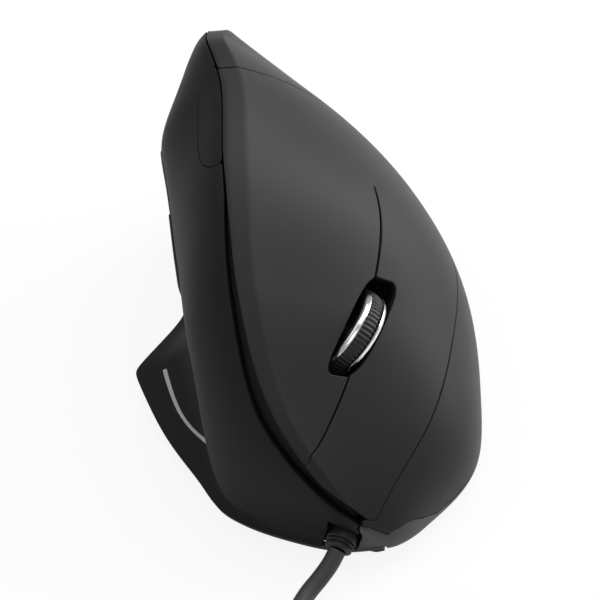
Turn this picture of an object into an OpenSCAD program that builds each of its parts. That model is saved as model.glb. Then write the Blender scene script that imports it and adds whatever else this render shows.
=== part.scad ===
// Vertical ergonomic mouse for the left hand, with its cable wound up in front of it.
// +Z is up, the cable leaves towards -Y, the thumb side is -X and the finger side is +X.

/* [Body] */
// Length from nose to tail
body_len = 120; // [110:1:132]
// Height of the ridge at its highest point
ridge_h = 74.5; // [70:0.5:82]
// Height of the seam between the base and the shells
rim_h = 7; // [6.5:0.5:8.5]
// Reach of the ridge towards the thumb side
ridge_reach = 18; // [16:0.5:20]
// Reach of the base on the finger side
finger_reach = 41.5; // [38:0.5:46]
// Reach of the upper wing on the thumb side
wing_reach = 29; // [27.5:0.5:31.5]
// Height of the wing at its highest point
wing_h = 55; // [52:0.5:58]
// Reach of the thumb's hollow
waist_reach = 25; // [24:0.5:26.5]
// Height of the thumb's hollow
waist_h = 22; // [19:0.5:25]
// Reach of the thumb rest's lip
lip_reach = 41; // [38:0.5:45]
// Height of the lip's upper edge
lip_h = 4.8; // [4.6:0.1:5.6]
// Width of the flat band beside the ridge
band_w = 5.2; // [4:0.2:6.5]
// Thickness of the moulded shells
shell_t = 2; // [1.6:0.1:2.2]
// Gap between neighbouring shells
seam_gap = 0.5; // [0.4:0.05:0.7]

/* [Base] */
// Thickness of the glide feet
foot_t = 0.8; // [0.5:0.1:1.2]
// Thickness of the base plate
base_t = 1.6; // [1.4:0.1:1.8]
// Thickness of the rim wall that stands on the base plate
rim_t = 2; // [1.6:0.1:2.4]
// Height of the screw bosses above the base plate
boss_h = 1.6; // [1.4:0.1:2.2]
// Radius of the case screws' thread
screw_r = 1.1; // [1:0.05:1.3]
// Radius of the case screws' head
screw_head_r = 2.4; // [2.1:0.1:2.8]

/* [Keys] */
// Place of the flex line that the two keys bend about, along the body
hinge_y = 14; // [11:0.5:17]
// Place of the seam behind the finger panel, along the body
rear_seam_y = 29; // [26:0.5:33]
// Width of the posts under the keys
key_post_w = 3; // [2.4:0.1:3.6]

/* [Wheel] */
// Radius of the wheel over its tyre
wheel_r = 11; // [10:0.25:11.5]
// Width of the tyre
tyre_w = 4.8; // [4.4:0.1:5.4]
// Width of each bright ring
ring_w = 0.6; // [0.4:0.1:0.8]
// Height that the wheel stands out of the keys
wheel_rise = 3.2; // [2.8:0.1:4]
// Radius of the axle
axle_r = 1.5; // [1.2:0.1:1.8]
// Running clearance round the axle
axle_play = 0.05; // [0.03:0.01:0.08]
// Thickness of the yoke that carries the wheel
yoke_t = 1.6; // [1.4:0.1:2]

/* [Buttons] */
// Height that the side buttons stand out of the thumb shell
side_proud = 0.5; // [0.3:0.1:1.4]
// Thickness of the side buttons
side_t = 2.6; // [2.2:0.1:3]
// Thickness of the resolution button
dpi_t = 2; // [1.8:0.1:2.2]
// Play between a pressed piece and its switch plunger
press_play = 0.05; // [0.03:0.01:0.1]

/* [Boards] */
// Thickness of the circuit boards
board_t = 1.6; // [1.4:0.1:1.8]
// Width of a main switch
switch_w = 5.8; // [5.4:0.1:6.2]
// Length of a main switch
switch_l = 12.8; // [12:0.1:13.2]
// Height of a main switch
switch_h = 6.5; // [6:0.1:7]
// Side of a small switch
tact_w = 6; // [5:0.1:6.4]
// Height of a small switch
tact_h = 2.8; // [2.4:0.1:3.2]
// Radius of the switch plungers
plunger_r = 0.9; // [0.8:0.05:1.1]

/* [Cable] */
// Diameter of the cable
cable_d = 4; // [3.6:0.1:4.2]
// Loops in each layer of the coil
coil_loops = 3; // [2:1:3]
// Radius at the middle of the coil's turns
coil_r = 22; // [21:0.5:24]
// Room between neighbouring turns
coil_play = 0.5; // [0.45:0.05:0.7]
// Thickness of the tie round the coil
tie_t = 0.6; // [0.4:0.1:0.9]
// Width of the tie
tie_w = 10; // [7:0.5:13]
// Length of the plug's grip
grip_l = 26; // [22:1:32]
// Width of the plug's grip
grip_w = 15.6; // [14.5:0.1:17]
// Height of the plug's grip
grip_h = 7.8; // [7:0.1:8.6]

/* [Hidden] */
$fn = 48;

// The body is a row of upright sections. A section's station runs from 0 at the nose to 1 at the
// tail, and each rail below gives one corner of the section at nine even stations.
nose_x = 10;
tail_x = -2.1;
ridge_share = [-0.19, -0.8, -1.02, -0.961, -0.808, -0.852, -0.643];
ridge_xs = concat([nose_x], ridge_reach * ridge_share, [tail_x]);
ridge_rise = [0, 0.245, 0.5, 0.764, 0.948, 1, 0.964, 0.734, 0];
wing_xs = concat([nose_x], wing_reach * [-0.169, -0.834, -0.995, -0.996, -1.021, -1.24, -1.27, -1.27]);
wing_rise = [0, 0.102, 0.036, 0.606, 0.74, 0.966, 0.916, 0.653, 0];
waist_xs = concat([nose_x], waist_reach * [-0.22, -0.932, -1.02, -1, -0.88, -0.68, -0.4], [tail_x]);
waist_rise = [0, 0.07, 0, 0.53, 0.93, 1, 0.73, 0.33, 0];
lip_xs = concat([nose_x], lip_reach * [-0.13, -0.54, -0.826, -0.985, -1.11, -1.17, -1.17, -1.17]);
lip_fall = [0, 0.85, 1, 1, 1, 1, 1, 0.85, 0];
base_xs = concat([nose_x], finger_reach * [0.482, 0.811, 0.947, 1, 0.898, 0.664, 0.371], [tail_x]);
band_share = [0, 0.48, 0.63, 0.81, 1, 0.94, 0.78, 0.98, 0];

// Straight cuts that end the wing and the lip towards the tail: a corner, a slope and its rounding.
wing_corner = [-1.139 * wing_reach, 20];
wing_slope = 0.52;
wing_round = 3;
lip_corner = [-0.988 * lip_reach, 2];
lip_slope = 1;
lip_round = 2;
lip_least = 2.5;
tail_blend = [0, 0, 0, 0, 0, 0, 0, 0.35, 1];

// Curves across a section: angles in degrees above the horizontal, and pulls as shares of a chord.
band_t = 0.12;
band_tilt = -2;
crown_tilt = [-28, -28, -29, -30, -28.5, -38, -45, -54.5, -46];
crown_pull = [0.42, 0.42, 0.42, 0.42, 0.4, 0.35, 0.32, 0.28, 0.27];
skirt_tilt = 92;
skirt_pull = 0.42;
shoulder_tilt = 222;
thumb_pull = 0.36;
ledge_tilt = 12;
ledge_pull = 0.5;

// Seams, as stations and as shares of the way across a side.
nose_s = 0.004;
tail_s = 0.996;
gap_t = seam_gap / 84;
gap_s = seam_gap / 190;
key_front_s = 0.074;
index_front_s = 0.185;
centre_front_s = 0.17;
centre_end_s = 0.545;
centre_top_t = 0.463;
right_front_s = 0.06;
right_end_t = 0.85;
right_curl = 0.274;
rear_bow_s = 0.045;
slot_s = 0.355;
slot_half_s = 0.065;
slot_half_w = wheel_half_w() + 1.3;
slot_slant = 0.48;
ridge_gap_t = [0.03, 0.063, 0.0275, 0.034, 0, 0, 0, 0, 0];
leaf_s = 0.59;
leaf_half_s = 0.077;
leaf_t = 0.094;
side_s = [0.478, 0.563, 0.648];
side_across = [0.325, 0.455];
skirt_nose_s = 0.03;
skirt_nose_t = 0.265;
skirt_end_t = 0.992;
skirt_fade_s = 0.0635;
palm_front_s = [0.04, 0.057];
palm_tip_t = 0.41;
palm_rise = 13;
key_tip_s = 0.13;
key_tip_rise = 3.85;
gland_s = [0.057, 0.113];
gland_t = [side_across[1], 0.93];
strip_s = [0.35, 0.495];
strip_rear_t = 0.918;
strip_curl = 0.144;
strip_w = 1.3;
strip_sink = 0.6;
strip_proud = 0.15;

function unit(v) = v / norm(v);
function clamp01(v) = min(max(v, 0), 1);
function steps(a, b, n) = [for (i = [0 : n - 1]) a + (b - a) * i / n];
function dir2(deg) = [cos(deg), sin(deg)];

// Greater of a and b, with a corner rounded by about r.
function smax(a, b, r) = (a + b + sqrt((a - b) * (a - b) + r * r)) / 2;

// Smooth curve through evenly spaced values, with parabolas at its ends.
function through(v, s) =
    let (n = len(v) - 1, q = clamp01(s) * n, i = min(floor(q), n - 1), f = q - i)
    let (m0 = i == 0 ? (4 * v[1] - v[2] - 3 * v[0]) / 2 : (v[i + 1] - v[i - 1]) / 2)
    let (m1 = i == n - 1 ? (3 * v[n] - 4 * v[n - 1] + v[n - 2]) / 2 : (v[i + 2] - v[i]) / 2)
    (2 * pow(f, 3) - 3 * f * f + 1) * v[i] + (pow(f, 3) - 2 * f * f + f) * m0
    + (3 * f * f - 2 * pow(f, 3)) * v[i + 1] + (pow(f, 3) - f * f) * m1;

function bezier(a, b, c, d, t) =
    pow(1 - t, 3) * a + 3 * pow(1 - t, 2) * t * b + 3 * (1 - t) * t * t * c + pow(t, 3) * d;

function section_y(s) = -body_len / 2 * cos(180 * s);
function station(y) = acos(-2 * y / body_len) / 180;

// Corners of the section at station s, as [x, z].
function ridge(s) = [through(ridge_xs, s), rim_h + (ridge_h - rim_h) * through(ridge_rise, s)];
function waist(s) = [through(waist_xs, s), rim_h + (waist_h - rim_h) * through(waist_rise, s)];
function base(s) = [through(base_xs, s), rim_h];
function wing(s) =
    let (cut = wing_corner.x + (section_y(s) - wing_corner.y) * wing_slope)
    let (x = smax(through(wing_xs, s), cut, wing_round), k = through(tail_blend, s))
    [x * (1 - k) + min(ridge(s).x, tail_x) * k, rim_h + (wing_h - rim_h) * through(wing_rise, s)];
function lip(s) =
    let (cut = lip_corner.x + (section_y(s) - lip_corner.y) * lip_slope)
    let (x = smax(through(lip_xs, s), cut, lip_round))
    let (least = waist(s).x - lip_least * sin(180 * s))
    [-smax(-x, -least, 3), rim_h + (lip_h - rim_h) * through(lip_fall, s)];

// Finger side, from the ridge at t = 0 to the rim at t = 1.
function finger_pt(s, t) =
    let (r = ridge(s), b = base(s), c = r + band_w * through(band_share, s) * dir2(band_tilt))
    let (chord = norm(b - c), crown = c + through(crown_pull, s) * chord * dir2(through(crown_tilt, s)))
    let (skirt = b + skirt_pull * chord * dir2(skirt_tilt))
    let (p = t < band_t ? r + (c - r) * t / band_t
                        : bezier(c, crown, skirt, b, (t - band_t) / (1 - band_t)))
    [p.x, section_y(s), p.y];

// Thumb side, from the ridge at t = 0 over the shoulder, the hollow and the ledge to the lip.
function thumb_pt(s, t) =
    let (r = ridge(s), o = wing(s), w = waist(s), a = lip(s), down = [0, -1])
    let (d1 = thumb_pull * norm(r - o), d2 = thumb_pull * norm(o - w), d3 = thumb_pull * norm(w - a))
    let (p = t < 1 / 3 ? bezier(r, r + d1 * dir2(shoulder_tilt), o - d1 * down, o, 3 * t)
           : t < 2 / 3 ? bezier(o, o + d2 * down, w - d2 * down, w, 3 * t - 1)
           : bezier(w, w + d3 * down, a + ledge_pull * norm(w - a) * dir2(ledge_tilt), a, 3 * t - 2))
    [p.x, section_y(s), p.y];

// Outward normals of the two sides. The thumb side's is taken a little inside its ends and its lip.
step = 0.002;
end_s = 0.02;
lip_t = 0.96;
function finger_n(s, t) =
    let (across = finger_pt(s, min(t + step, 1)) - finger_pt(s, max(t - step, 0)))
    let (along = finger_pt(min(s + step, 1), t) - finger_pt(max(s - step, 0), t))
    unit(cross(across, along));
function thumb_n(s, t) =
    let (u = min(max(s, end_s), 1 - end_s), v = min(t, lip_t))
    let (across = thumb_pt(u, v + step) - thumb_pt(u, max(v - step, 0)))
    unit(cross(thumb_pt(u + step, v) - thumb_pt(u - step, v), across));

// Inward offsets of the two sides for a wall of thickness 1, mitred where they meet at the ridge.
mitre_t = 0.04;
function mitre(s) = let (m = finger_n(s, 0) + thumb_n(s, 0)) m * 2 / max(m * m, 1);
function finger_in(s, t) = let (k = clamp01(1 - t / mitre_t)) -k * mitre(s) - (1 - k) * finger_n(s, t);
function thumb_in(s, t) = let (k = clamp01(1 - t / mitre_t)) -k * mitre(s) - (1 - k) * thumb_n(s, t);

// Seam lines on the two sides, as shares of the way across at station s.
function centre_t(s) =
    centre_top_t * sqrt(max(0, 1 - pow((centre_end_s - s) / (centre_end_s - centre_front_s), 2)));
function right_t(s) =
    right_end_t * pow(clamp01(max(s - right_front_s, 0.004) / (rear_s - right_front_s)), right_curl);
function slot_t(s) =
    slot_half_w / 80 * pow(max(0, 1 - pow(abs(s - slot_s) / slot_half_s, 4)), 0.25);
function index_edge(s) =
    centre_t(s) + (slot_t(s) > 0 ? min(-gap_t / 2, slot_slant * (s - slot_s) - slot_t(s)) : -gap_t / 2);
function middle_edge(s) =
    centre_t(s) + (slot_t(s) > 0 ? max(gap_t / 2, slot_slant * (s - slot_s) + slot_t(s)) : gap_t / 2);
function ridge_gap(s) = max(gap_t, through(ridge_gap_t, s));
function skirt_t(s) = max(0.02, skirt_end_t * (1 - exp(-pow(s / skirt_fade_s, 1.25))));
function palm_front_t(s) =
    s > key_front_s ? gap_t
    : max(gap_t, palm_tip_t * (palm_front_s[1] - s) / (palm_front_s[1] - palm_front_s[0]),
          palm_rise * (s - palm_front_s[1]));
function key_tip_t(s) = max(0, key_tip_rise * (key_tip_s - s));
function rear_bow(t) = rear_bow_s * sin(180 * clamp01((t - band_t) / (right_end_t - band_t)));
function leaf(s) = leaf_t * sqrt(max(0, 1 - pow(abs(s - leaf_s) / leaf_half_s, 3)));

rear_s = station(rear_seam_y);
hinge_s = station(hinge_y);
function wheel_half_w() = tyre_w / 2 + ring_w;

// A frame is [origin, x, y, z]. The key frame stands on the keys where the wheel comes through them,
// and the wheel's frame is turned in it, with x along the axle.
function frame(o, along, up) = let (z = unit(up), x = unit(cross(along, z))) [o, x, cross(z, x), z];
function local(f, p) = [(p - f[0]) * f[1], (p - f[0]) * f[2], (p - f[0]) * f[3]];
function world(f, p) = f[0] + p.x * f[1] + p.y * f[2] + p.z * f[3];
function turned(f, deg) = [f[0], cos(deg) * f[1] + sin(deg) * f[2], cos(deg) * f[2] - sin(deg) * f[1], f[3]];
function centre_pt(s) = finger_pt(s, centre_t(s));
key_frame = frame(centre_pt(slot_s), centre_pt(slot_s + step) - centre_pt(slot_s - step),
                  finger_n(slot_s, centre_t(slot_s)));
wheel_turn = -12;
wheel_frame = turned(key_frame, wheel_turn);
leaf_at = [leaf_s, leaf_t / 2];
dpi_frame = frame(thumb_pt(leaf_at.x, leaf_at.y), [0, 1, 0], [dir2(shoulder_tilt - 90).x, 0,
                  dir2(shoulder_tilt - 90).y]);

module at_frame(f) {
    multmatrix([
        [f[1].x, f[2].x, f[3].x, f[0].x],
        [f[1].y, f[2].y, f[3].y, f[0].y],
        [f[1].z, f[2].z, f[3].z, f[0].z]
    ])
        children();
}

// Cylinder from a to b.
module rod(a, b, r) {
    d = b - a;
    translate(a)
        rotate([0, acos(d.z / norm(d)), atan2(d.y, d.x)])
            cylinder(h = norm(d), r = r);
}

// Block between two corners.
module block(a, b) {
    translate(a)
        cube(b - a);
}

// Closed sheet between an outer and an inner grid of points, with the kept cells only.
module sheet(outer, inner, keep, turned) {
    rows = len(outer);
    cols = len(outer[0]);
    function at(i, j, side) = (side * rows + i) * cols + j;
    function kept(i, j) = i >= 0 && j >= 0 && i < rows - 1 && j < cols - 1 && keep[i][j];
    function quad(a, b, c, d) = [[a, b, c], [a, c, d]];
    function wall(i, j, k, l) = quad(at(i, j, 0), at(k, l, 0), at(k, l, 1), at(i, j, 1));
    faces = [
        for (i = [0 : rows - 2], j = [0 : cols - 2])
            if (kept(i, j))
                each concat(
                    quad(at(i, j, 0), at(i + 1, j, 0), at(i + 1, j + 1, 0), at(i, j + 1, 0)),
                    quad(at(i, j, 1), at(i, j + 1, 1), at(i + 1, j + 1, 1), at(i + 1, j, 1)),
                    kept(i, j - 1) ? [] : wall(i + 1, j, i, j),
                    kept(i, j + 1) ? [] : wall(i, j + 1, i + 1, j + 1),
                    kept(i - 1, j) ? [] : wall(i, j, i, j + 1),
                    kept(i + 1, j) ? [] : wall(i + 1, j + 1, i + 1, j)
                )
    ];
    polyhedron(
        points = concat([for (r = outer) each r], [for (r = inner) each r]),
        faces = [for (f = faces) turned ? [f[2], f[1], f[0]] : f]
    );
}

// Sheet on a side of the body over grid places [s, t], from its own surface raised by proud.
module finger_sheet(places, keep, proud, t) {
    outer = [for (row = places) [for (p = row) finger_pt(p.x, p.y) - proud * finger_in(p.x, p.y)]];
    inner = [for (row = places) [for (p = row) finger_pt(p.x, p.y) + (t - proud) * finger_in(p.x, p.y)]];
    sheet(outer, inner, keep, false);
}
module thumb_sheet(places, keep, proud, t) {
    outer = [for (row = places) [for (p = row) thumb_pt(p.x, p.y) - proud * thumb_in(p.x, p.y)]];
    inner = [for (row = places) [for (p = row) thumb_pt(p.x, p.y) + (t - proud) * thumb_in(p.x, p.y)]];
    sheet(outer, inner, keep, true);
}
function all_cells(places) = [for (i = [1 : len(places) - 1]) [for (j = [1 : len(places[0]) - 1]) true]];
function between(s, low, high, n) = [for (j = [0 : n]) [s, low + (high - low) * j / n]];

// Stations that the shells and the keys share along their seams.
key_rows = 30;
key_s = [
    for (i = [0 : key_rows]) key_front_s + (hinge_s - gap_s / 2 - key_front_s) * pow(i / key_rows, 1.4)
];
panel_s = [for (i = [0 : 5]) hinge_s + gap_s / 2 + (rear_s - gap_s - hinge_s) * i / 5];
leaf_rows = [for (i = [-4 : 4]) leaf_s + 0.94 * leaf_half_s * sin(22.5 * i)];

// Fits: round a screw's shank, round its thread, and between pieces that slide.
screw_play = 0.25;
fit_play = 0.02;

// Base plate, feet and case screws.
base_top = foot_t + base_t;
boss_top = base_top + boss_h;
boss_r = screw_head_r + 1.8;
base_tuck = 5.2;
plate_edge = 0.3;
foot_w = 6;
front_foot_l = 16;
rear_foot_l = 14;
screw_head_h = 1.2;
screw_head_top = foot_t + 1.4;
screw_len = 9;

// Wheel and yoke, as heights in the wheel's frame.
wheel_z = wheel_rise - wheel_r;
hub_r = wheel_r - 2.4;
arm_in = wheel_half_w() + 0.9;
arm_out = arm_in + yoke_t;
yoke_l = 10;
yoke_low = wheel_z - wheel_r - 1.4;
encoder_w = 3;
encoder_h = 7.6;

// Small switches: how far a plunger stands out and how deep its bore starts.
tact_stand = 0.8;
tact_floor = 0.5;

// Board under the keys with its frame and switches, in the key frame.
board_z = yoke_low - yoke_t - tact_stand - tact_h;
frame_t = 1.6;
frame_z = board_z - board_t - frame_t;
board_low = [-15.5, -7];
board_high = [18.5, 18];
plunger_top = board_z + switch_h + 0.9;
plunger_sunk = 2;
index_at = [0.39, 0.31];
middle_at = [0.37, 0.58];
board_screw_r = 0.9;
board_screw_head = [1.7, 1.2];
function key_spot(at) = local(key_frame, finger_pt(at.x, at.y));
function behind(at) = key_spot(at).y + switch_l / 2 + board_screw_head[0] + 0.6;
key_board_screws = [[-12.5, behind(index_at)], [15.5, behind(middle_at) + 1], [8, -5]];
frame_legs = [[-8, 14], [12, 13], [2, -3]];

// Resolution button and its board, in the button's own frame.
dpi_plunger_z = -dpi_t - 1.6;
dpi_board_z = dpi_plunger_z - tact_stand - tact_h;
dpi_rib_w = 2.4;
dpi_board_low = [-3.6, -5];
dpi_board_high = [4.5, 5];
dpi_foot = world(dpi_frame, [dpi_board_low.x, 0, dpi_board_z - board_t]);

// Spine wall under the ridge, which ends below the resolution button's board.
spine_t = 2.2;
spine_play = 1;
spine_ys = [-0.35 * body_len, 0.225 * body_len];
spine_screw_ys = [-0.25 * body_len, 0.14 * body_len];
spine_drop = ridge_h - dpi_foot.z + spine_play;

// Places of the case screws: under the frame's legs and under the spine.
function leg_foot(p) = let (w = world(key_frame, [p.x, p.y, frame_z])) [w.x, w.y];
function spine_x(y) = ridge(station(y)).x;
case_screws = concat([for (p = frame_legs) leg_foot(p)], [for (y = spine_screw_ys) [spine_x(y), y]]);

// Side buttons, with i = 0 for the front one and 1 for the rear one, and the board behind them.
function side_at(i) = thumb_pt((side_s[i] + side_s[i + 1]) / 2, (side_across[0] + side_across[1]) / 2);
side_rib_w = 2;
side_stack = 7;
side_board_x = max(side_at(0).x, side_at(1).x) + side_stack;
side_plunger_x = side_board_x - tact_h - tact_stand;
side_margin = 5.5;
side_mid = (side_at(0) + side_at(1)) / 2;
side_studs = [[side_mid.y, side_mid.z - 4.5], [side_mid.y, side_mid.z + 4.5]];
side_stud_r = 1.8;

// Main board with the sensor and its lens.
main_low = [-8, body_len / 2 - 53];
main_high = [22, main_low.y + 35];
main_z = base_top + 2.6;
main_post_r = 2.2;
main_posts = [for (x = [main_low.x + 3, main_high.x - 3], y = [main_low.y + 3, main_high.y - 3]) [x, y]];
main_screws = [main_posts[0], main_posts[3]];
sensor_at = [7, main_low.y + 13];
sensor_size = [10, 12, 3.4];
lens_size = [12, 16];
lens_hole_r = 4;
lens_play = 0.1;
window_r = 3;

// Socket of the cable on the main board: its corner and its size.
socket_at = [main_low.x + 8, main_low.y + 0.5, main_z + board_t];
socket_size = [10, 4.5, 5];
socket_wall = 1;

// Strain relief in the opening of the skirt, and the lead from it to the socket.
gland = (thumb_pt(gland_s[0], 0.7) + thumb_pt(gland_s[1], 0.7)) / 2 + [0, 0, 0.6];
boot_dir = unit([-0.5, -0.84, -0.25]);
boot_neck = 4;
boot_len = 2.6;
boot_r = 3.5;
boot_end = gland + boot_len * boot_dir;
lead_r = 1.2;
lead_sides = 8;
lead_end = socket_at + [socket_size.x / 2, socket_size.y - socket_wall, socket_size.z / 2];
lead_route = [
    [1, -50, 7], [5, -43, 5.2], [8, -34, 4.8], [9, -24, 4.8], [8.5, -14, 4.8]
];

// Coil: it starts where the run of the cable ends, and its tail leads on to the plug.
coil_layers = 4;
coil_rings = 24;
coil_sides = 6;
cable_sides = 10;
tie_room = 0.35;
coil_pitch = cable_d + coil_play;
coil_out = coil_r + coil_loops / 2 * coil_pitch;
coil_z = tie_t + tie_room + cable_d / 2;
coil_from = [-20, -112, coil_z];
coil_centre = [coil_from.x + coil_out, coil_from.y - cable_d];
coil_to = [coil_from.x, coil_centre.y - cable_d, coil_z + (coil_layers - 1) * coil_pitch];

// Route of the cable on the surface, as [x, y] and its rise over the coil's lowest turns.
run_route = [
    [-3.7, -62.2, 3.1], [-6.4, -64.5, 1.5], [-9.5, -67.2, 0.5], [-12.2, -70.6, 0.1], [-14.7, -75, 0],
    [-17, -81, 0], [-18.8, -88, 0], [-19.7, -95, 0], [-20, -102, 0], [-20, -107, 0], [-20, -112, 0]
];

// Route from the coil's end to the plug, as steps in x and y and shares of the drop.
tail_route = [
    [0, 0, 0], [0, -6, 0.02], [-0.5, -13, 0.16], [-1.4, -20, 0.42], [-2.4, -27, 0.7], [-3.3, -34, 0.9],
    [-3.9, -41, 0.99], [-4, -47, 1]
];
tail_drop = coil_to.z - grip_h / 2;
tail_path = [for (p = tail_route) coil_to + [p.x, p.y, -p.z * tail_drop]];

// Plug at the end of the cable.
plug_from = tail_path[len(tail_path) - 1];
plug_size = [12, 4.5];
plug_len = 18.75;
plug_wall = 0.3;
plug_sunk = 5;
tongue_t = 1.9;

// Outline of the base at station s, drawn in by inset: the finger side and the thumb side.
function plan_y(s, inset) = -(body_len / 2 - inset) * cos(180 * s);
function finger_plan(s, inset) = [base(s).x - inset * sin(180 * s), plan_y(s, inset)];
function thumb_plan(s, inset) = [lip(s).x + inset * sin(180 * s), plan_y(s, inset)];

module base_skirt() {
    low = base_top - base_t / 2;
    finger_rows = concat([nose_s, 0.015], steps(skirt_nose_s, 0.12, 5), steps(0.12, tail_s, 24), [tail_s]);
    thumb_rows = concat([nose_s, 0.015], steps(skirt_nose_s, gland_s[0], 3), [gland_s[0]]);
    thumb_lines = [0.004, 0.13, skirt_nose_t + 2 * gap_t, 0.4, 0.55, 0.7, 0.85, 1];
    function foot(p) = [[p.x, p.y, low]];
    function finger_row(s, t) =
        concat([for (p = between(s, skirt_t(s), 1, 4)) finger_pt(p.x, p.y) - t * finger_n(p.x, p.y)],
               foot(finger_plan(s, base_tuck + t)));
    function nose_n(s) = let (d = thumb_pt(s + step, 0.6) - thumb_pt(s - step, 0.6)) unit([-d.y, d.x, 0]);
    function thumb_row(s, t) =
        concat([for (v = thumb_lines) thumb_pt(s, v) - t * nose_n(s)], foot(thumb_plan(s, base_tuck + t)));
    outer = [for (s = finger_rows) finger_row(s, 0)];
    sheet(outer, [for (s = finger_rows) finger_row(s, rim_t)], all_cells(outer), false);
    nose = [for (s = thumb_rows) thumb_row(s, 0)];
    keep = [for (i = [1 : len(thumb_rows) - 1]) [for (j = [0 : len(thumb_lines) - 1]) i < 3 || j > 1]];
    sheet(nose, [for (s = thumb_rows) thumb_row(s, rim_t)], keep, true);
}

module base_plate() {
    plan_n = 36;
    inset = base_tuck - plate_edge;
    outline = concat([for (i = [0 : plan_n]) finger_plan(i / plan_n, inset)],
                     [for (i = [plan_n - 1 : -1 : 1]) thumb_plan(i / plan_n, inset)]);
    color("#303030")
        difference() {
            union() {
                translate([0, 0, foot_t])
                    linear_extrude(base_t)
                        polygon(outline);
                for (p = case_screws)
                    translate([p.x, p.y, foot_t])
                        cylinder(h = base_t + boss_h, r = boss_r);
                for (p = main_posts)
                    translate([p.x, p.y, foot_t])
                        cylinder(h = main_z - foot_t, r = main_post_r);
                base_skirt();
            }
            for (p = case_screws) {
                translate([p.x, p.y, 0])
                    cylinder(h = screw_head_top, r = screw_head_r + screw_play);
                translate([p.x, p.y, 0])
                    cylinder(h = boss_top + 1, r = screw_r + screw_play);
            }
            for (p = main_screws)
                translate([p.x, p.y, base_top])
                    cylinder(h = main_z, r = board_screw_r + fit_play);
            translate([sensor_at.x, sensor_at.y, 0])
                cylinder(h = base_top + 1, r = lens_hole_r);
            rod(gland - boot_neck * boot_dir, boot_end, boot_r + screw_play);
        }
}

// Glide foot with round ends, from a to b.
module glide(a, b, w) {
    d = b - a;
    translate([a.x, a.y, 0])
        rotate([0, 0, atan2(d.y, d.x)])
            linear_extrude(foot_t)
                union() {
                    circle(d = w);
                    translate([0, -w / 2])
                        square([norm(d), w]);
                    translate([norm(d), 0])
                        circle(d = w);
                }
}

module feet() {
    color("#1c1c1c") {
        glide([0, -0.36 * body_len], [front_foot_l, -0.36 * body_len], foot_w);
        glide([-4, 0.385 * body_len], [rear_foot_l - 4, 0.385 * body_len], foot_w);
        glide([0.77 * finger_reach, -6], [0.77 * finger_reach, 8], foot_w);
        glide([-0.68 * lip_reach, -14], [-0.68 * lip_reach, -4], foot_w);
    }
}

module base_screws() {
    color("#8a8d90")
        for (p = case_screws)
            translate([p.x, p.y, screw_head_top - screw_head_h])
                union() {
                    cylinder(h = screw_head_h, r = screw_head_r);
                    cylinder(h = screw_head_h + screw_len, r = screw_r);
                }
}

module thumb_shell() {
    rows = concat(
        steps(skirt_nose_s + 3 * gap_s, gland_s[0], 3), steps(gland_s[0], gland_s[1], 2),
        steps(gland_s[1], side_s[0], 11), steps(side_s[0], leaf_s - leaf_half_s, 3),
        [leaf_s - leaf_half_s], [for (s = leaf_rows) if (s < side_s[2] - 0.004) s], [side_s[2]],
        [for (s = leaf_rows) if (s > side_s[2] + 0.004) s], steps(leaf_s + leaf_half_s, tail_s, 9), [tail_s]
    );
    lines = [0.12, 0.16, 0.21, skirt_nose_t, side_across[0], 0.39, side_across[1], 0.51, 0.57, 0.63,
             0.69, 0.75, 0.81, 0.87, gland_t[1], 1];
    function edge(s) = max(ridge_gap(s), leaf(s) > 0 ? leaf(s) + gap_t : 0);
    function inside(v, r) = v > r[0] && v < r[1];
    places = [for (s = rows) concat([[s, edge(s)]], [for (t = lines) [s, t]])];
    keep = [
        for (i = [1 : len(rows) - 1])
            [for (j = [0 : len(lines) - 1])
                let (s = (rows[i] + rows[i - 1]) / 2, t = (lines[j] + (j == 0 ? 0 : lines[j - 1])) / 2)
                !(inside(s, [side_s[0], side_s[2]]) && inside(t, side_across))
                && !(s < gland_s[1] && t > skirt_nose_t)]
    ];
    color("#262626")
        thumb_sheet(places, keep, 0, shell_t);
}

// Right half of the case, round the keys and over the tail down to the skirt.
module palm_shell() {
    front = concat(steps(palm_front_s[0], palm_front_s[1], 3), [palm_front_s[1], key_front_s - 3.2 * gap_s]);
    rows = concat(front, key_s, [hinge_s], panel_s, steps(rear_s + gap_s / 2, tail_s, 10), [tail_s]);
    inner_n = 7;
    outer_n = 6;
    function split_t(s) = min(right_t(s), skirt_t(s) - 3.5 * gap_t) + 1.2 * gap_t;
    function mid_t(s) = max(split_t(s), palm_front_t(s) + gap_t);
    function inner(s, share) = [s, palm_front_t(s) + (mid_t(s) - palm_front_t(s)) * share];
    function bowed(p) = p.x < rear_s ? p : [p.x + rear_bow(p.y) * (tail_s - p.x) / (tail_s - rear_s), p.y];
    places = [
        for (s = rows)
            concat([for (j = [0 : inner_n - 1]) bowed(inner(s, j / inner_n))],
                   between(s, mid_t(s), skirt_t(s) - 1.6 * gap_t, outer_n))
    ];
    keep = [
        for (i = [1 : len(rows) - 1])
            [for (j = [0 : inner_n + outer_n - 1])
                j >= inner_n || rows[i] < key_front_s || rows[i - 1] > rear_s]
    ];
    color("#2c2c2c")
        finger_sheet(places, keep, 0, shell_t);
}

module finger_panel() {
    function bowed(p) = [p.x + rear_bow(p.y) * (p.x - hinge_s) / (rear_s - hinge_s), p.y];
    places = [for (s = panel_s) [for (p = between(s, 0, right_t(s) - gap_t / 2, 12)) bowed(p)]];
    color("#333333")
        finger_sheet(places, all_cells(places), 0, shell_t);
}

// Post under a key, down to the plunger of its switch.
module key_post(at) {
    p = key_spot(at);
    at_frame(key_frame)
        block([p.x - key_post_w / 2, p.y - key_post_w / 2, plunger_top + press_play],
              [p.x + key_post_w / 2, p.y + key_post_w / 2, p.z - 0.6 * shell_t]);
}

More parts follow.
